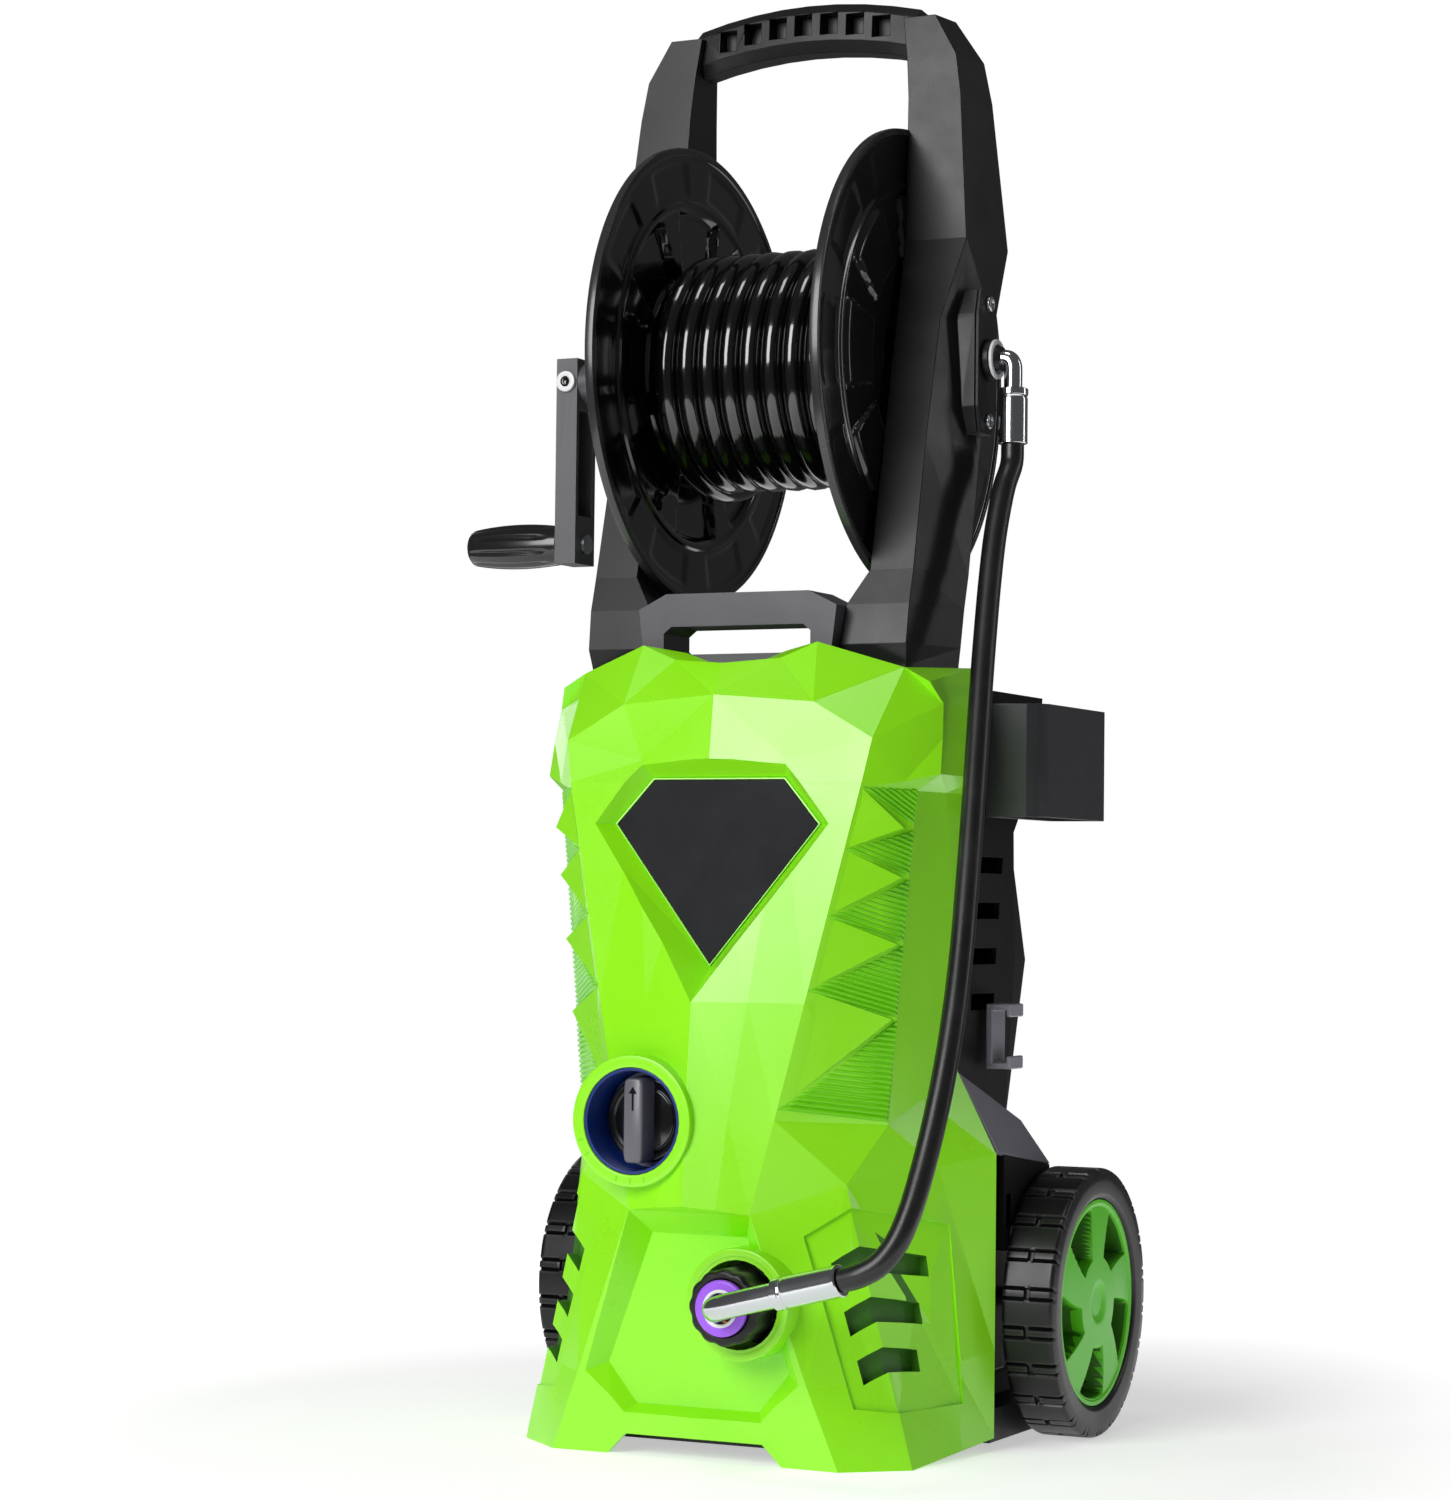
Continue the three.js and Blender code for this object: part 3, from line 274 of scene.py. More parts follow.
def gridMesh(name, grids, wrapRows=False, wrapCols=True, caps=True, angle=32):
    # each grid is rows x cols x 3 in design millimetres; end rows are closed by one face each
    points, faces, first = [], [], 0
    for g in grids:
        g = np.asarray(g, float)
        rows, cols = g.shape[:2]
        points.append(inMetres(g).reshape(-1, 3))
        faces += gridFaces(rows, cols, first, wrapRows, wrapCols).tolist()
        if caps and not wrapRows:
            faces.append(list(range(first, first + cols)))
            faces.append(list(range(first + (rows - 1) * cols, first + rows * cols)))
        first += rows * cols
    mesh = bpy.data.meshes.new(name)
    mesh.from_pydata(np.concatenate(points).tolist(), [], faces)
    return tidyMesh(mesh, angle)


def turnedGrid(profile, axis, centre, seg=64, ripple=None):
    # a closed profile of [radius, height] carried round the axis; ripple scales the radius by
    # angle and height
    profile = np.asarray(profile, float)
    a = np.linspace(0, 2 * np.pi, seg, endpoint=False)[:, None]
    r, h = profile[None, :, 0], profile[None, :, 1]
    if ripple:
        r = r * ripple(a, h, r)
    r, h = r + 0 * a, h + 0 * a
    u, v = r * np.cos(a), r * np.sin(a)
    order = {"x": (h, u, v), "y": (u, h, v), "z": (u, v, h)}[axis]
    return np.stack(order, -1) + np.asarray(centre, float)


def turned(name, profile, axis, centre, paint, node, seg=64, ripple=None, angle=32, stands=True):
    # linked piece: a closed profile of [radius, height] turned round the axis
    grid = turnedGrid(profile, axis, centre, seg, ripple)
    mesh = gridMesh(name, [grid], wrapRows=True, wrapCols=True, caps=False, angle=angle)
    return link(name, mesh, paint, node, stands)


def rounded(corners, radius, steps=4):
    # closed outline with each corner replaced by a short arc of the given radius
    corners = np.asarray(corners, float)
    out = []
    n = len(corners)
    for i in range(n):
        p, a, b = corners[i], corners[i - 1], corners[(i + 1) % n]
        da, db = a - p, b - p
        la, lb = np.linalg.norm(da), np.linalg.norm(db)
        r = min(radius, la * 0.45, lb * 0.45)
        if p[0] < 1e-6 or r < 1e-3:
            out.append(p)
            continue
        t = np.linspace(0, 1, steps)[:, None]
        out += list((1 - t) ** 2 * (p + da / la * r) + 2 * t * (1 - t) * p + t ** 2 * (p + db / lb * r))
    return np.array(out)


def smoothPath(points, steps):
    # Catmull-Rom curve through the points, evenly sampled along its length
    p = np.asarray(points, float)
    p = np.vstack([2 * p[0] - p[1], p, 2 * p[-1] - p[-2]])
    t = np.linspace(0, 1, 24, endpoint=False)[:, None]
    parts = [0.5 * (2 * b + (c - a) * t + (2 * a - 5 * b + 4 * c - d) * t ** 2
                    + (3 * b - a - 3 * c + d) * t ** 3)
             for a, b, c, d in zip(p[:-3], p[1:-2], p[2:-1], p[3:])]
    curve = np.vstack(parts + [p[-2:-1]])
    s = np.r_[0, np.cumsum(np.linalg.norm(np.diff(curve, axis=0), axis=1))]
    even = np.linspace(0, s[-1], steps)
    return np.stack([np.interp(even, s, curve[:, k]) for k in range(3)], -1)


def sweptGrid(path, radii, seg):
    # circle carried along a path, its radius given per step; frames turn as little as possible
    path = np.asarray(path, float)
    tan = np.gradient(path, axis=0)
    tan /= np.linalg.norm(tan, axis=1)[:, None]
    side = np.cross(tan[0], [0.3, 0.2, 0.93])
    sides = []
    for t in tan:
        side = side - t * (side @ t)
        side = side / np.linalg.norm(side)
        sides.append(side)
    sides = np.array(sides)
    other = np.cross(tan, sides)
    a = np.linspace(0, 2 * np.pi, seg, endpoint=False)
    r = np.broadcast_to(np.asarray(radii, float)[:, None], (len(path), seg))
    return path[:, None] + r[..., None] * (np.cos(a)[None, :, None] * sides[:, None]
                                           + np.sin(a)[None, :, None] * other[:, None])


def swept(name, path, radii, paint, node, seg):
    # linked piece: a round section carried along a path, closed at both ends
    return link(name, gridMesh(name, [sweptGrid(path, radii, seg)]), paint, node)


def refined(name, node, width, angle, sharp):
    # copy of a CAD node: loose triangles merged, flats joined, edges over the angle rounded by
    # width in mm, shading broken at edges over the sharp angle
    mesh = nodes[node].data.copy()
    bm = bmesh.new()
    bm.from_mesh(mesh)
    bmesh.ops.remove_doubles(bm, verts=bm.verts, dist=2e-5)
    bmesh.ops.dissolve_limit(bm, angle_limit=math.radians(0.8), verts=bm.verts, edges=bm.edges)
    bm.to_mesh(mesh)
    bm.free()
    mesh.polygons.foreach_set("use_smooth", [True] * len(mesh.polygons))
    mesh.set_sharp_from_angle(angle=math.radians(sharp))
    obj = link(name, mesh, paintOf.get(node, "steel"), node)
    bevel = obj.modifiers.new("bevel", "BEVEL")
    bevel.width = width / 1000
    bevel.segments = 2
    bevel.limit_method = "ANGLE"
    bevel.angle_limit = math.radians(angle)
    bevel.use_clamp_overlap = True
    bevel.harden_normals = True


# connecting hose, from the outlet's ferrule up to the swivel
lead = {"diameter": 14.0}
leadRoute = [(124.6, -275.1, 117.6), (135.5, -275.2, 121), (146, -272.5, 127.5), (153.5, -267, 139),
             (158, -259.5, 155), (160.8, -250.5, 175), (162.8, -241, 197), (164.2, -231, 221),
             (164.6, -220.5, 246), (164, -209.5, 272), (162.2, -197, 301), (159.6, -184.5, 331),
             (156.6, -171.5, 362), (153.2, -158, 394), (149.8, -145, 425), (146.6, -132.5, 456),
             (143.6, -119.5, 488), (141.2, -107, 520), (139.9, -95.5, 550), (140.6, -84.5, 578),
             (142, -75.5, 594), (142, -74, 606)]
# reel: drum, flanges and the winding, with the place and turn of its end fitting
reel = {"y": -74.0, "z": 659.0, "drum": 60.3, "flange": 71.0, "turns": 8.75, "hose": 14.6,
        "play": 1.0, "endX": 21.0, "endR": 84.04, "endTurn": 33.5788, "swing": 150.0, "climb": 0.35}


def cordCurve(name, points, diameter, paint, node):
    # one open poly line with a round bevel
    data = bpy.data.curves.new(name, "CURVE")
    data.dimensions = "3D"
    data.bevel_depth = diameter / 2000
    data.bevel_resolution = 6
    data.use_fill_caps = True
    line = data.splines.new("POLY")
    line.points.add(len(points) - 1)
    flat = np.c_[inMetres(points), np.ones(len(points))]
    line.points.foreach_set("co", flat.ravel())
    line.use_smooth = True
    return link(name, data, paint, node)


def lengthOf(points):
    # length of a line through the points, in metres
    return float(np.linalg.norm(np.diff(points, axis=0), axis=1).sum() / 1000)


leadPoints = smoothPath(leadRoute, 150)
leadHose = cordCurve("connectingHose", leadPoints, lead["diameter"], "hose", "connecting_hose")


def windingPath():
    # helix: angle grows evenly while x crosses the drum; the last stretch climbs on the winding
    # and swings into line with the drum to meet its fitting
    r = reel["drum"] + reel["hose"] / 2
    half = reel["flange"] - reel["play"] - reel["hose"] / 2
    endAngle = np.radians(reel["endTurn"])
    total = 2 * np.pi * reel["turns"]
    t = np.linspace(0, 1, 400)
    swing = np.radians(reel["swing"])
    angle = endAngle - swing - total * (1 - t)
    x = half - 2 * half * t
    s = np.linspace(0, 1, 40)[1:]
    angle2 = endAngle - swing * (1 - s) ** 2
    climb = np.clip(s / reel["climb"], 0, 1)
    r2 = r + (reel["endR"] - r) * climb ** 2 * (3 - 2 * climb)
    x2 = -half + (reel["endX"] + half) * s ** 2
    angle, x, r = np.r_[angle, angle2], np.r_[x, x2], np.r_[np.full(len(t), r), r2]
    return np.stack([x, reel["y"] + r * np.cos(angle), reel["z"] + r * np.sin(angle)], -1)


woundPoints = windingPath()
wound = cordCurve("woundHose", woundPoints, reel["hose"], "wound", "wound_hose")
print("stage: hoses", round(lengthOf(leadPoints), 3), round(lengthOf(woundPoints), 3))

# shells: the CAD solids with their edges rounded, width and angles per piece
for name, node, width, angle, sharp in [
        ("frontShell", "front_cover", 0.7, 14, 4.5), ("rearShell", "rear_cover", 1.6, 20, 30),
        ("tray", "base_tray", 1.2, 24, 30), ("uprightLeft", "left_upright", 1.3, 12, 8),
        ("uprightRight", "right_upright", 1.3, 12, 8), ("bridge", "carry_bridge", 2.2, 20, 20),
        ("handle", "handle_bar", 1.4, 34, 34), ("holster", "gun_holder", 1.2, 40, 40),
        ("hook", "cord_hook", 1.0, 24, 30), ("badge", "badge_plate", 0.4, 24, 24),
        ("crankBar", "crank_arm", 1.4, 30, 30), ("sidePlateSteel", "swivel_plate", 0.5, 30, 30),
        ("fitting", "hose_end", 0.3, 30, 32), ("inletNut", "water_inlet", 0.3, 30, 32),
        ("glandBody", "cable_gland", 0.4, 30, 32), ("port", "outlet_port", 0.3, 30, 32)]:
    refined(name, node, width, angle, sharp)


def faceSpots(mesh):
    # centre and normal of every face, the centre in design millimetres, both mirrored to +x
    spots, normals = np.empty(len(mesh.polygons) * 3), np.empty(len(mesh.polygons) * 3)
    mesh.polygons.foreach_get("center", spots)
    mesh.polygons.foreach_get("normal", normals)
    spots = (spots.reshape(-1, 3) - np.array([midX, axleY, 0.0])) * 1000
    return np.abs(spots[:, 0]), spots[:, 1], spots[:, 2], normals.reshape(-1, 3)


def within(values, limits):
    # true where a value lies between the two limits
    return (values > limits[0]) & (values < limits[1])


def paintFaces(mesh, paint, chosen):
    # gives the chosen faces a further paint
    mesh.materials.append(paints[paint])
    index = np.empty(len(mesh.polygons), np.int32)
    mesh.polygons.foreach_get("material_index", index)
    index[chosen] = len(mesh.materials) - 1
    mesh.polygons.foreach_set("material_index", index)


# grey shoulder of the rear cover beside each fender
shoulder = {"x": (112, 143), "z": (166, 230), "rise": 0.25}
rearMesh = bpy.data.objects["rearShell"].data
x, y, z, normal = faceSpots(rearMesh)
paintFaces(rearMesh, "fender", within(x, shoulder["x"]) & within(z, shoulder["z"])
           & (normal[:, 2] > shoulder["rise"]))

# corners of the cover's lower flank: a front edge, a fold and the seam, joined by ruled surfaces
flankFoot = {"edgeTop": (39.6, -217.7, 145), "edgeFoot": (93.3, -209, 0), "foldTop": (87.5, -188, 163),
             "foldFoot": (127.5, -180, 0), "seam": (141.0, -88.0)}
slots = {"deep": 2.6, "z": (24, 150), "from": 80, "toSeam": 6}


def lineAt(top, foot, z):
    # x and y of the straight line between two corners at the height z
    share = (top[2] - z) / (top[2] - foot[2])
    return top[0] + share * (foot[0] - top[0]), top[1] + share * (foot[1] - top[1])


# slot insides: faces that lie deeper than the vent panel under the ruled surfaces get a dark green, painted
# shade for the inside of the slots
frontMesh = bpy.data.objects["frontShell"].data
x, y, z, normal = faceSpots(frontMesh)
seamX, seamY = flankFoot["seam"]
foldX, foldY = lineAt(flankFoot["foldTop"], flankFoot["foldFoot"], z)
edgeX, edgeY = lineAt(flankFoot["edgeTop"], flankFoot["edgeFoot"], z)
sideSurface = foldX + (y - foldY) / (seamY - foldY) * (seamX - foldX)
frontSurface = edgeY + (x - edgeX) / (foldX - edgeX) * (foldY - edgeY)
deepSide = (y > foldY + 1) & (sideSurface - x > slots["deep"])
deepFront = (y <= foldY + 1) & (y - frontSurface > slots["deep"])
low = within(z, slots["z"]) & (x > slots["from"]) & (y < seamY - slots["toSeam"])
paintFaces(frontMesh, "shadeGreen", low & (deepSide | deepFront))
print("stage: shells")

# ribbed fields between the teeth of the front cover
knob = {"x": -33.5, "z": 197.5, "face": -228.0, "bore": 31.7, "ring": 38.5}
flank = {"rib": 3.1, "height": 1.6, "sink": 2.2, "lift": 0.1, "leanX": 0.2244, "leanY": 0.1025,
         "ridgeY": -160.0, "ridgeZ": [197, 268, 393], "ridgeX": [101.5, 107, 117.8]}
ribFields = [(395, 393.4, 372.5), (358.4, 369.6, 343), (318.6, 341, 304), (275.5, 302, 260),
             (206.5, 258, 198.5)]   # height of the point at the front edge, then the two at the ridge


def frontEdge(z):
    # straight edge that leans out and back as it climbs from the top of the lower recess
    x, y, foot = flankFoot["edgeTop"]
    return np.array([x + (z - foot) * flank["leanX"], y + (z - foot) * flank["leanY"], z])


def ridge(z):
    # rear end of the ribs: a broken line that spreads outwards as it climbs
    return np.array([np.interp(z, flank["ridgeZ"], flank["ridgeX"]), flank["ridgeY"], z])


def flankRibs(side):
    # ribs parallel to the lower edge of each triangle: height is the size of a sine of the
    # distance up from that edge, faded at the ends
    grids = []
    for zPoint, zHigh, zLow in ribFields:
        a, high, low = frontEdge(zPoint), ridge(zHigh), ridge(zLow)
        out = np.cross(high - a, low - a)
        out = out / np.linalg.norm(out)
        out = out if out[1] < 0 else -out
        count = max(3, round(np.linalg.norm(high - low) / flank["rib"]))
        f = np.linspace(0.0, 0.995, count * 8 + 1)[:, None]
        start, end = a + (high - a) * f, low + (high - low) * f
        # the ribs stop at the ring round the knob
        t = np.linspace(0, 0.9, 91)
        line = start[:, None] + (end - start)[:, None] * t[None, :, None]
        away = np.hypot(line[..., 0] * side - knob["x"], line[..., 2] - knob["z"])
        clear = np.argmax(away > knob["ring"] - 2, axis=1)
        start = start + (end - start) * t[clear][:, None]
        rise = flank["height"] * np.abs(np.sin(np.pi * count * f)) + flank["lift"]
        inner = start + (end - start) * 0.06
        outer = start + (end - start) * 0.97
        sunk = -flank["sink"] * out
        rows = [start + sunk, start, inner + rise * out, outer + rise * out, end, end + sunk]
        grids.append(np.stack(rows, 1) * np.array([side, 1, 1]))
    return grids


# the ribbed fields take the darker green, painted shade between the ribs
for word, side in (("Left", -1), ("Right", 1)):
    mesh = gridMesh("ribs" + word, flankRibs(side), angle=20)
    link("ribs" + word, mesh, "ribShadeGreen", "front_cover", stands=False)

outlet = {"x": 36.0, "z": 94.0, "face": -226.0, "bore": 26.0, "boss": 32.5}
centreKnob, centreOutlet = (knob["x"], 0, knob["z"]), (outlet["x"], 0, outlet["z"])
turned("knobRing", rounded([[knob["bore"] - 0.1, -197], [knob["bore"] - 0.1, knob["face"] - 0.3],
                            [knob["ring"] + 0.3, knob["face"] - 0.3], [knob["ring"] + 0.5, -197]], 1.2),
       "y", centreKnob, "green", "front_cover", 96, stands=False)
turned("outletBoss", rounded([[outlet["bore"] - 0.1, -195], [outlet["bore"] + 1.5, outlet["face"] - 0.3],
                              [outlet["boss"] + 0.2, outlet["face"] - 0.3],
                              [outlet["boss"] + 0.5, -195]], 1.2),
       "y", centreOutlet, "green", "front_cover", 96, stands=False)
badge = {"corners": [(-43.4, 400), (43.4, 400), (67.3, 373), (0, 289), (-67.3, 373)],
         "middle": (0.0, 345.0), "top": 400, "y": -182, "lean": 0.088,
         "bead": ((0.993, 2.2), (0.993, 2.55), (1.006, 2.55), (1.006, 0.4))}   # scale and lift


def badgeHighlightBead():
    # thin bead round the badge: a small square carried round the outline, growing outwards
    outline = np.array(badge["corners"], float)
    centre = np.array(badge["middle"])
    rows = []
    for scale, lift in badge["bead"]:
        p = centre + (outline - centre) * scale
        # the badge leans forward as it goes down
        y = badge["y"] - (badge["top"] - p[:, 1]) * badge["lean"] - lift
        rows.append(np.stack([p[:, 0], y, p[:, 1]], -1))
    return np.stack(rows, 1)


# the bead's pale green is a painted highlight along the badge edge
mesh = gridMesh("badgeHighlightBead", [badgeHighlightBead()], wrapRows=True, caps=False, angle=20)
link("badgeHighlightBead", mesh, "line", "badge_plate", stands=False)
print("stage: cover details")

# switch: liner, dial and grip
turned("knobCup", rounded([[0, -199], [knob["bore"] - 0.4, -199], [knob["bore"] - 0.4, knob["face"] + 0.6],
                           [knob["bore"] - 2.3, knob["face"] + 0.6], [knob["bore"] - 3.2, -202],
                           [0, -202]], 0.5), "y", centreKnob, "navy", "knob_cup", 80)
turned("knobDisc", rounded([[0, -182], [4, -182], [4, -203], [25.5, -203], [25.5, -209], [24.4, -210.2],
                            [20.6, -210.2], [20, -209.6], [19.4, -209.6], [18.8, -210.4],
                            [0, -211.4]], 0.5), "y", centreKnob, "gloss", "knob_disc", 80)
bar = {"half": 25.2, "width": 6.6, "front": -226.0, "back": -210.4, "square": (0.35, 0.22)}


def knobBar():
    # rows from back to front of a long superellipse, each half axis times a small power of the
    # cosine or the sine, drawn in at the front edge
    a = np.linspace(0, 2 * np.pi, 72, endpoint=False)
    c, s = np.cos(a), np.sin(a)
    x = bar["width"] * np.sign(c) * np.abs(c) ** bar["square"][0]
    z = bar["half"] * np.sign(s) * np.abs(s) ** bar["square"][1]
    rows = []
    for y, k in ((bar["back"], 1.0), (bar["front"] + 2, 0.96), (bar["front"] + 0.6, 0.9),
                 (bar["front"] + 0.1, 0.8)):
        rows.append(np.stack([knob["x"] + x * k, y + 0 * x, knob["z"] + z * (1 - (1 - k) * 0.25)], -1))
    return np.array(rows)


link("knobBar", gridMesh("knobBar", [knobBar()], angle=50), "knob", "knob_grip")


def flatMark(name, outlines, y, paint, node, lift=0.5):
    # flat marks: each outline of [x, z] raised a little from y
    grids = [np.stack([np.stack([np.array(o)[:, 0], np.full(len(o), y + d), np.array(o)[:, 1]], -1)
                       for d in (0.4, -lift)]) for o in outlines]
    return link(name, gridMesh(name, grids, angle=20), paint, node, stands=False)


arrow = {"shaft": 0.6, "head": 2.6, "from": 6, "neck": 16, "tip": 20}
arrowShaft = [(knob["x"] - arrow["shaft"], knob["z"] + arrow["from"]),
              (knob["x"] + arrow["shaft"], knob["z"] + arrow["from"]),
              (knob["x"] + arrow["shaft"], knob["z"] + arrow["neck"]),
              (knob["x"] - arrow["shaft"], knob["z"] + arrow["neck"])]
arrowHead = [(knob["x"] - arrow["head"], knob["z"] + arrow["neck"]),
             (knob["x"] + arrow["head"], knob["z"] + arrow["neck"]),
             (knob["x"], knob["z"] + arrow["tip"])]
flatMark("knobArrow", [arrowShaft, arrowHead], bar["front"] + 0.1, "gloss", "knob_grip", 0.25)
tick = {"degrees": (200, 215, 255, 270, 285), "from": 33.4, "to": 36.8, "half": 0.35}
ticks = []
for degrees in tick["degrees"]:
    a = math.radians(degrees)
    along = np.array([math.cos(a), math.sin(a)])
    aside = np.array([-math.sin(a), math.cos(a)]) * tick["half"]
    near = np.array([knob["x"], knob["z"]]) + along * tick["from"]
    far = np.array([knob["x"], knob["z"]]) + along * tick["to"]
    ticks.append([near - aside, far - aside, far + aside, near + aside])
flatMark("knobTicks", ticks, knob["face"] - 0.3, "rimGreen", "front_cover", 0.15)
print("stage: switch")

# outlet: lobed nut, seal, elbow and ferrules
turned("collar", rounded([[9.6, -219], [21.6, -219], [22.4, -221], [22.4, -243], [20.6, -245.4],
                          [17.2, -245.4], [16.6, -244.2], [9.6, -244.2]], 0.8, 3),
       "y", centreOutlet, "black", "outlet_collar", 144,
       ripple=lambda a, h, r: 1 - 0.045 * (r > 18) * np.abs(np.sin(6 * a)) ** 3)
turned("sealRing", rounded([[9.5, -244.6], [16.2, -244.6], [16.4, -247.4], [15.4, -248.5],
                            [11.4, -248.5], [9.5, -247.2]], 0.7), "y", centreOutlet, "violet",
       "outlet_seal", 80)
turned("sealLip", rounded([[9.0, -246.4], [11.0, -246.4], [11.0, -249.0], [9.0, -249.0]], 0.4, 3),
       "y", centreOutlet, "white", "outlet_seal", 64, stands=False)
elbowRoute = [(36, -226.5, 94), (36, -246, 94), (37, -256, 94.4), (41, -263.5, 95.6),
              (49, -267.5, 98), (64, -269.6, 102), (82, -271.2, 106.6)]
swept("elbow", smoothPath(elbowRoute, 60), np.full(60, 7.3), "chrome", "outlet_elbow", 32)


def ferrule(name, start, end, radius, node):
    # crimped sleeve: a collar at the start, one narrow waist behind it, then a plain body
    start, end = np.array(start, float), np.array(end, float)
    k = np.linspace(0, 1, 121)
    r = radius * (0.97 - 0.05 * np.exp(-((k - 0.16) / 0.018) ** 2) + 0.03 * (k < 0.12)
                  + 0.02 * np.exp(-((k - 0.98) / 0.02) ** 2))
    r = r - 1.1 * np.exp(-(k / 0.01) ** 2) - 0.7 * np.exp(-((1 - k) / 0.008) ** 2)
    swept(name, start + (end - start) * k[:, None], r, "chrome", node, 36)


ferrule("lowerFerrule", (82.3, -271.2, 106.7), (124.2, -275.0, 117.4), 9.5, "lower_ferrule")
ferrule("upperFerrule", (142, -74, 640.7), (142, -74, 606.6), 9.3, "upper_ferrule")
upperRoute = [(130.6, -74, 659), (136, -74, 659), (139.4, -74, 658.2), (141.4, -74, 655.6),
              (142, -74, 652), (142, -74, 641)]
swept("upperBend", smoothPath(upperRoute, 40), np.full(40, 5.6), "chrome", "upper_elbow", 28)

# swivel on the right upright
swivel = {"x": 123.4, "y": -74.0, "z": 659.0}
centreSwivel = (0, swivel["y"], swivel["z"])
turned("swivelHub", rounded([[4.7, swivel["x"] + 2.8], [12.6, swivel["x"] + 2.8],
                             [12.6, swivel["x"] + 6.5], [8.6, swivel["x"] + 6.5],
                             [8.6, swivel["x"] + 9.2], [7.4, swivel["x"] + 12],
                             [4.7, swivel["x"] + 12]], 0.5), "x", centreSwivel, "black", "swivel_body", 56)
turned("swivelRing", rounded([[8.9, swivel["x"] + 7], [12.2, swivel["x"] + 7], [12.2, swivel["x"] + 9],
                              [8.9, swivel["x"] + 9]], 0.7), "x", centreSwivel, "white", "swivel_seal", 56)
for word, dz in (("Upper", 34), ("Lower", -38)):
    turned("bolt" + word, rounded([[0, swivel["x"] + 2.7], [4.6, swivel["x"] + 2.7],
                                   [4.6, swivel["x"] + 4.6], [3.8, swivel["x"] + 5.4],
                                   [2.6, swivel["x"] + 5.4], [2.2, swivel["x"] + 4],
                                   [0, swivel["x"] + 4]], 0.3),
           "x", (0, swivel["y"] - 1, swivel["z"] + dz), "steel", "plate_bolt_" + word.lower(), 36)
print("stage: outlet and swivel")


# moulded side plates of the reel
plateForm = {"sectors": 8, "pockets": (64, 103), "windows": 10, "panels": (114, 134),
             "ring": (106, 110), "lip": 139.5, "deep": 4.6, "rib": 1.8, "rise": 2.2}


def step(x, edge, soft):
    # 0 below the edge and 1 above it, joined by a cubic ramp as wide as soft
    t = np.clip((x - edge) / soft + 0.5, 0, 1)
    return t * t * (3 - 2 * t)


def plateRelief(r, a):
    # inner ring: pockets between the radial ribs; outer ring: shallower panels set half a
    # sector on; both fade with rounded corners
    sector = 2 * np.pi / plateForm["sectors"]
    side = np.abs((a + sector / 2) % sector - sector / 2)
    across = r * np.sin(np.clip(side, 0, 1.2))
    near, far = plateForm["pockets"]
    inner = step(r, near, 4) * (1 - step(r, far, 5)) * (1 - step(across, 20 + (r - near) * 0.16, 3))
    slot = 2 * np.pi / plateForm["windows"]
    side2 = np.abs((a + 0.3) % slot - slot / 2)
    across2 = r * np.sin(np.clip(side2, 0, 1.2))
    near, far = plateForm["panels"]
    outer = step(r, near, 3) * (1 - step(r, far, 3)) * (1 - step(across2, 22 + (r - near) * 0.1, 3))
    ringRib = step(r, plateForm["ring"][0], 2) * (1 - step(r, plateForm["ring"][1], 2))
    lip = step(r, plateForm["lip"], 2)
    return (-plateForm["deep"] * inner - 0.25 * plateForm["deep"] * outer
            + plateForm["rib"] * ringRib + plateForm["rise"] * lip)


def sidePlate(side):
    # closed section carried round: inner face with the relief, rim, then the outer face
    a = np.linspace(0, 2 * np.pi, 300, endpoint=False)[:, None]
    r = np.r_[np.linspace(44, 139, 72), np.linspace(139.6, 142.8, 8)][None, :]
    inner = reel["flange"] + 1.6 - 0.9 * plateRelief(r, a) * (1 if side < 0 else 0.9)
    outer = reel["flange"] + 4.6 + plateRelief(r, a) * 0.7
    inner = np.maximum(inner, reel["flange"] + 0.2)
    outer = np.maximum(outer, inner + 1.6)
    rimR = np.array([[143.6, 144.0, 143.6]])
    rimX = np.stack([inner[:, -1] + 0.5, (inner[:, -1] + outer[:, -1]) / 2, outer[:, -1] - 0.5], -1)
    radius = np.concatenate([r + 0 * a, rimR + 0 * a, r[:, ::-1] + 0 * a], 1)
    x = np.concatenate([inner, rimX, outer[:, ::-1]], 1)
    grid = np.stack([side * x, reel["y"] + radius * np.cos(a), reel["z"] + radius * np.sin(a)], -1)
    word = "left" if side < 0 else "right"
    mesh = gridMesh(word + "Flange", [grid], wrapRows=True, caps=False, angle=40)
    link(word + "Flange", mesh, "gloss", word + "_side_plate")
    # faces round the rim take a lighter grey, a painted highlight on the rim bevel
    _, y, z, _ = faceSpots(mesh)
    paintFaces(mesh, "reelRimHighlight", np.hypot(y - reel["y"], z - reel["z"]) > 140)


for side in (-1, 1):
    sidePlate(side)
print("stage: reel plates")

# crank: fluted grip and the screw of the arm
crank = {"x": -160.0, "drop": 104.0, "gap": 8.4, "long": 68.0, "r": 14.5, "flutes": 9, "dip": 0.11}
gripZ = reel["z"] - crank["drop"]
k = np.linspace(0, 1, 60)
# barrel of the grip: a flattened half sine along its length, rounded off at the far end
barrel = crank["r"] * (0.74 + 0.26 * np.sin(np.pi * np.clip(k * 0.93 + 0.09, 0, 1)) ** 0.7)
barrel = barrel * np.where(k > 0.93, np.sqrt(np.clip(1 - ((k - 0.93) / 0.075) ** 2, 0.05, 1)), 1)
gripX = crank["x"] - crank["gap"] - k * crank["long"]
profile = np.vstack([[[5.2, gripX[0]]], np.stack([barrel, gripX], -1), [[0, gripX[-1] - 0.4]],
                     [[0, gripX[-1] + 2.4]], [[5.2, gripX[-1] + 2.4]]])


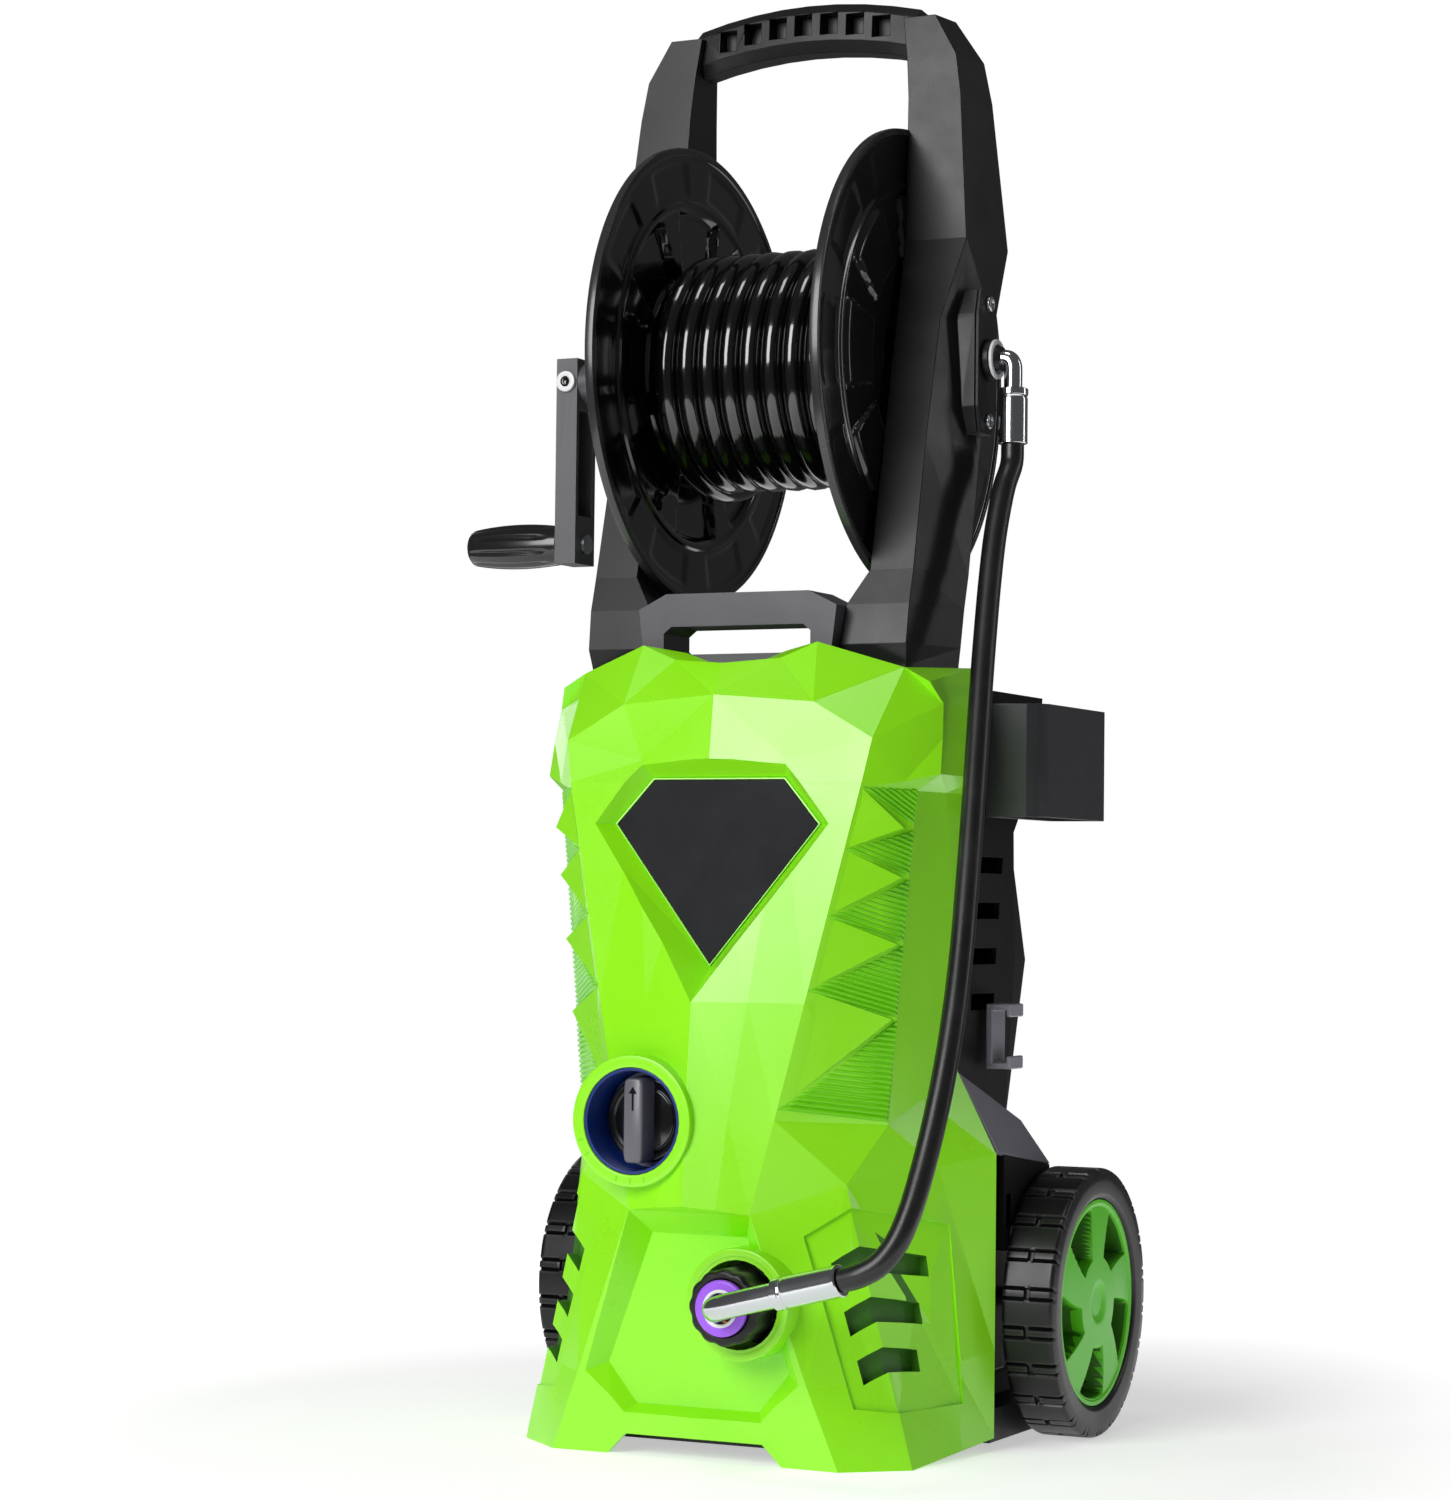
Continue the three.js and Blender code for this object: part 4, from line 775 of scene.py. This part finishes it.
def flutes(a, h, r):
    # grooves along the barrel: a narrow cosine dip round it, faded towards both ends
    along = np.clip((crank["x"] - crank["gap"] - h) / crank["long"], 0, 1)
    fade = step(along, 0.16, 0.2) * (1 - step(along, 0.88, 0.2))
    dip = np.clip(np.cos(crank["flutes"] * a), 0, 1) ** 2
    return 1 - crank["dip"] * dip * fade * (r > 8)


turned("grip", profile, "x", (0, reel["y"], gripZ), "grip", "crank_grip", 144, ripple=flutes, angle=50)
turned("crankWasher", rounded([[3.4, -88.6], [3.4, -89.6], [6.6, -89.6], [6.6, -87.0], [3.4, -87.0]], 0.4, 3),
       "y", (crank["x"], 0, reel["z"]), "white", "crank_screw", 48, stands=False)
turned("crankSocket", rounded([[0, -82.2], [2.8, -82.2], [2.8, -87.3], [3.6, -87.3], [3.6, -89.2],
                               [1.8, -89.2], [1.8, -87.6], [0, -87.6]], 0.2, 3),
       "y", (crank["x"], 0, reel["z"]), "gloss", "crank_screw", 40)
print("stage: crank")

# tyres and wheel discs
wheel = {"r": 82.5, "bead": 63.6, "in": 141.5, "out": 175.5, "lugs": 22, "groove": 2.4,
         "cutAt": 2.9, "cutHalf": 0.8, "bridgeLong": 3.2, "bridgeHalf": 1.3, "middleGap": 1.6}


def tyreSurface(side):
    # tread radius drops in H shaped grooves: two cross cuts joined by a short one round the
    # middle, repeated by lug
    profile = rounded([[wheel["bead"], wheel["in"] + 3], [74, wheel["in"]], [wheel["r"] - 1, wheel["in"] + 1],
                       [wheel["r"], wheel["in"] + 3], [wheel["r"], wheel["out"] - 2.5],
                       [wheel["r"] - 0.8, wheel["out"] - 0.6], [75, wheel["out"]], [66, wheel["out"] - 0.6],
                       [wheel["bead"], wheel["out"] - 2]], 1.2, 4)
    # more rows across the tread
    tread = np.linspace(wheel["in"] + 4.6, wheel["out"] - 4.2, 30)
    flat = np.stack([np.full(30, wheel["r"]), tread], -1)
    cut = int(np.argmax(profile[:, 1] > (wheel["in"] + wheel["out"]) / 2))
    profile = np.vstack([profile[:cut], flat, profile[cut:]])
    a = np.linspace(0, 2 * np.pi, wheel["lugs"] * 26, endpoint=False)[:, None]
    r, x = profile[None, :, 0] + 0 * a, profile[None, :, 1] + 0 * a
    pitch = 2 * np.pi / wheel["lugs"]
    along = ((a % pitch) / pitch - 0.5) * pitch * wheel["r"] + 0 * x
    middle = (wheel["in"] + wheel["out"]) / 2
    cross = 1 - step(np.abs(np.abs(along) - wheel["cutAt"]), wheel["cutHalf"], 0.7)
    bridgeCut = ((1 - step(np.abs(along), wheel["bridgeLong"], 0.7))
                 * (1 - step(np.abs(x - middle), wheel["bridgeHalf"], 0.7)))
    onTread = step(r, wheel["r"] - 2.2, 1)
    apart = step(np.abs(x - middle), wheel["middleGap"], 0.8)
    wave = np.maximum(cross * apart, bridgeCut) * onTread
    r = r - wheel["groove"] * np.clip(wave, 0, 1)
    return np.stack([side * x, r * np.cos(a), axleZ + r * np.sin(a)], -1)


rim = {"face": 3.2, "crown": 2.2, "windows": 5, "from": 29, "to": 57.5, "deep": 15, "turn": 0.14,
       "spoke": 7.5, "dishR": 11, "dish": 1.6, "ringR": 60, "ring": 0.9}


def rimSurface(side):
    # disc face, a little domed, with a shallow dish at the hub and windows sunk between broad
    # spokes; the mask widens with the radius and leans as it goes out
    a = np.linspace(0, 2 * np.pi, 360, endpoint=False)[:, None]
    r = np.r_[np.linspace(0.2, 28, 16), np.linspace(29, 63, 50)][None, :] + 0 * a
    sector = 2 * np.pi / rim["windows"]
    lean = a + 0.3 + rim["turn"] * (r - rim["from"]) / 30
    across = r * np.sin(np.clip(np.abs((lean + sector / 2) % sector - sector / 2), 0, 1.2))
    window = (step(r, rim["from"], 2.2) * (1 - step(r, rim["to"], 2.2))
              * (1 - step(across, rim["spoke"] + (r - rim["from"]) * 0.4, 2.2)))
    dish = 1 - step(r, rim["dishR"], 2)
    ringEdge = step(r, rim["ringR"], 1.2)
    x = (wheel["out"] - rim["face"] + rim["crown"] * (1 - (r / 62) ** 2) - rim["deep"] * window
         - rim["dish"] * dish + rim["ring"] * ringEdge)
    back = np.array([[63.6, 9.0], [63.6, 24.0], [60.0, 24.0], [30.0, 22.0], [0.2, 22.0]])
    r = np.concatenate([r, back[None, :, 0] + 0 * a], 1)
    x = np.concatenate([x, wheel["out"] - back[None, :, 1] + 0 * a], 1)
    return np.stack([side * x, r * np.cos(a), axleZ + r * np.sin(a)], -1)


for word, side in (("left", -1), ("right", 1)):
    mesh = gridMesh(word + "Tread", [tyreSurface(side)], wrapRows=True, caps=False, angle=38)
    link(word + "Tread", mesh, "tyre", word + "_tyre")
    mesh = gridMesh(word + "Disc", [rimSurface(side)], wrapRows=True, caps=False, angle=48)
    disc = link(word + "Disc", mesh, "rimGreen", word + "_rim")
    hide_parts(word + "_hub_cap")
    x, y, z, _ = faceSpots(mesh)
    # window walls sunk past the face get a dark green and the window floors black: painted shade inside the
    # wheel windows
    sunk = np.hypot(y, z - axleZ) < 62
    paintFaces(mesh, "shadeGreen", sunk & (x < wheel["out"] - rim["face"] - 2.2))
    paintFaces(mesh, "black", sunk & (x < wheel["out"] - rim["deep"]))

# fender: a flat panel from the cover's shoulder down to the tyre, with a thin rounded edge
fender = {"thick": 3.0, "edge": 0.8, "corners": [(116, -87.5, 225.5), (116, 15, 192),
                                                 (140.9, 2, 166.6), (140.9, -84, 178)]}
for word, side in (("left", -1), ("right", 1)):
    quad = np.array(fender["corners"])
    inward = np.cross(quad[1] - quad[0], quad[3] - quad[0])
    inward = inward / np.linalg.norm(inward)
    inward = inward if inward[0] < 0 else -inward
    mirror = np.array([side, 1, 1])
    panel = np.array([quad * mirror, (quad + inward * fender["thick"]) * mirror])
    obj = link(word + "Panel", gridMesh(word + "Panel", [panel], angle=20), "fender", word + "_fender")
    bevel = obj.modifiers.new("bevel", "BEVEL")
    bevel.width = fender["edge"] / 1000
    bevel.segments = 3
    bevel.harden_normals = True

# wheel arch under each fender: a web across its front end and a skirt along its outer edge
arch = {"web": [(116, 215), (138, 176), (140.5, 152), (140.5, 118), (116, 118)], "webY": -70.0,
        "webThick": 7.0, "skirt": [(-74, 176), (2, 166), (2, 132), (-74, 132)], "skirtX": 137.5,
        "skirtThick": 3.0}   # the web is an outline of x and z, the skirt one of y and z
for word, side in (("Left", -1), ("Right", 1)):
    web, skirt = np.array(arch["web"], float), np.array(arch["skirt"], float)
    webRows = [np.stack([side * web[:, 0], np.full(len(web), arch["webY"] + d), web[:, 1]], -1)
               for d in (0, arch["webThick"])]
    skirtRows = [np.stack([np.full(len(skirt), side * (arch["skirtX"] + d)), skirt[:, 0], skirt[:, 1]], -1)
                 for d in (0, arch["skirtThick"])]
    mesh = gridMesh("arch" + word, [np.array(webRows), np.array(skirtRows)], angle=20)
    link("arch" + word, mesh, "rear", "rear_cover", stands=False)
print("stage: wheels")

# floor, backdrop and lamps
studio = {"ambient": 0.09, "floorGlow": 0.5, "glowFrom": 0.35, "glowTo": 0.85, "reach": 1.2,
          "aim": 0.45}
floorMesh = bpy.data.meshes.new("floor")
around = np.linspace(0, 2 * np.pi, 96, endpoint=False)
floorEdge = np.stack([np.cos(around), np.sin(around), 0 * around], -1) * studio["reach"]
floorMesh.from_pydata(floorEdge.tolist(), [], [list(range(96))])
floor = bpy.data.objects.new("floor", floorMesh)
bpy.context.scene.collection.objects.link(floor)
floorPaint = bpy.data.materials.new("floor")
floorPaint.use_nodes = True
floorShader = floorPaint.node_tree.nodes["Principled BSDF"]
floorShader.inputs["Base Color"].default_value = (0.8, 0.8, 0.8, 1)
floorShader.inputs["Roughness"].default_value = 0.7
floorShader.inputs["Emission Color"].default_value = (1, 1, 1, 1)
floorTree = floorPaint.node_tree
# the glow rises with the distance from the machine, so the floor melts into the backdrop
spot, reach = floorTree.nodes.new("ShaderNodeTexCoord"), floorTree.nodes.new("ShaderNodeVectorMath")
glow = floorTree.nodes.new("ShaderNodeMapRange")
reach.operation = "LENGTH"
glow.inputs["From Min"].default_value = studio["glowFrom"]
glow.inputs["From Max"].default_value = studio["glowTo"]
glow.inputs["To Min"].default_value = studio["floorGlow"]
glow.inputs["To Max"].default_value = 1.0
floorTree.links.new(spot.outputs["Object"], reach.inputs[0])
floorTree.links.new(reach.outputs["Value"], glow.inputs["Value"])
floorTree.links.new(glow.outputs["Result"], floorShader.inputs["Emission Strength"])
floorMesh.materials.append(floorPaint)
floor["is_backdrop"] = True
world = bpy.data.worlds.new("studio")
bpy.context.scene.world = world
world.use_nodes = True
tree = world.node_tree
tree.nodes["Background"].inputs[0].default_value = (1, 1, 1, 1)
rays, level = tree.nodes.new("ShaderNodeLightPath"), tree.nodes.new("ShaderNodeMapRange")
level.inputs["To Min"].default_value, level.inputs["To Max"].default_value = studio["ambient"], 1.0
tree.links.new(rays.outputs["Is Camera Ray"], level.inputs["Value"])
tree.links.new(level.outputs["Result"], tree.nodes["Background"].inputs[1])
bpy.context.scene.view_settings.view_transform = "Standard"

# panel lamps: azimuth from straight in front, height, distance, width and length, power
lamps = {"key": (-12, 1.35, 2.4, (1.2, 1.5), 52), "left": (-128, 0.9, 1.9, (0.2, 1.7), 3.5),
         "right": (120, 1.1, 2.2, (0.2, 1.7), 5), "top": (10, 2.9, 0.6, (0.7, 0.7), 9)}
for name, (azimuth, height, distance, size, power) in lamps.items():
    data = bpy.data.lights.new(name, "AREA")
    data.shape, data.size, data.size_y, data.energy = "RECTANGLE", size[0], size[1], power
    lamp = bpy.data.objects.new(name, data)
    bpy.context.scene.collection.objects.link(lamp)
    a = math.radians(azimuth)
    lamp.location = (distance * math.sin(a), -distance * math.cos(a), height)
    aim = Vector((0, 0, studio["aim"])) - lamp.location
    lamp.rotation_mode = "QUATERNION"
    lamp.rotation_quaternion = aim.to_track_quat("-Z", "Y")
print("stage: light")

low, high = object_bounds()
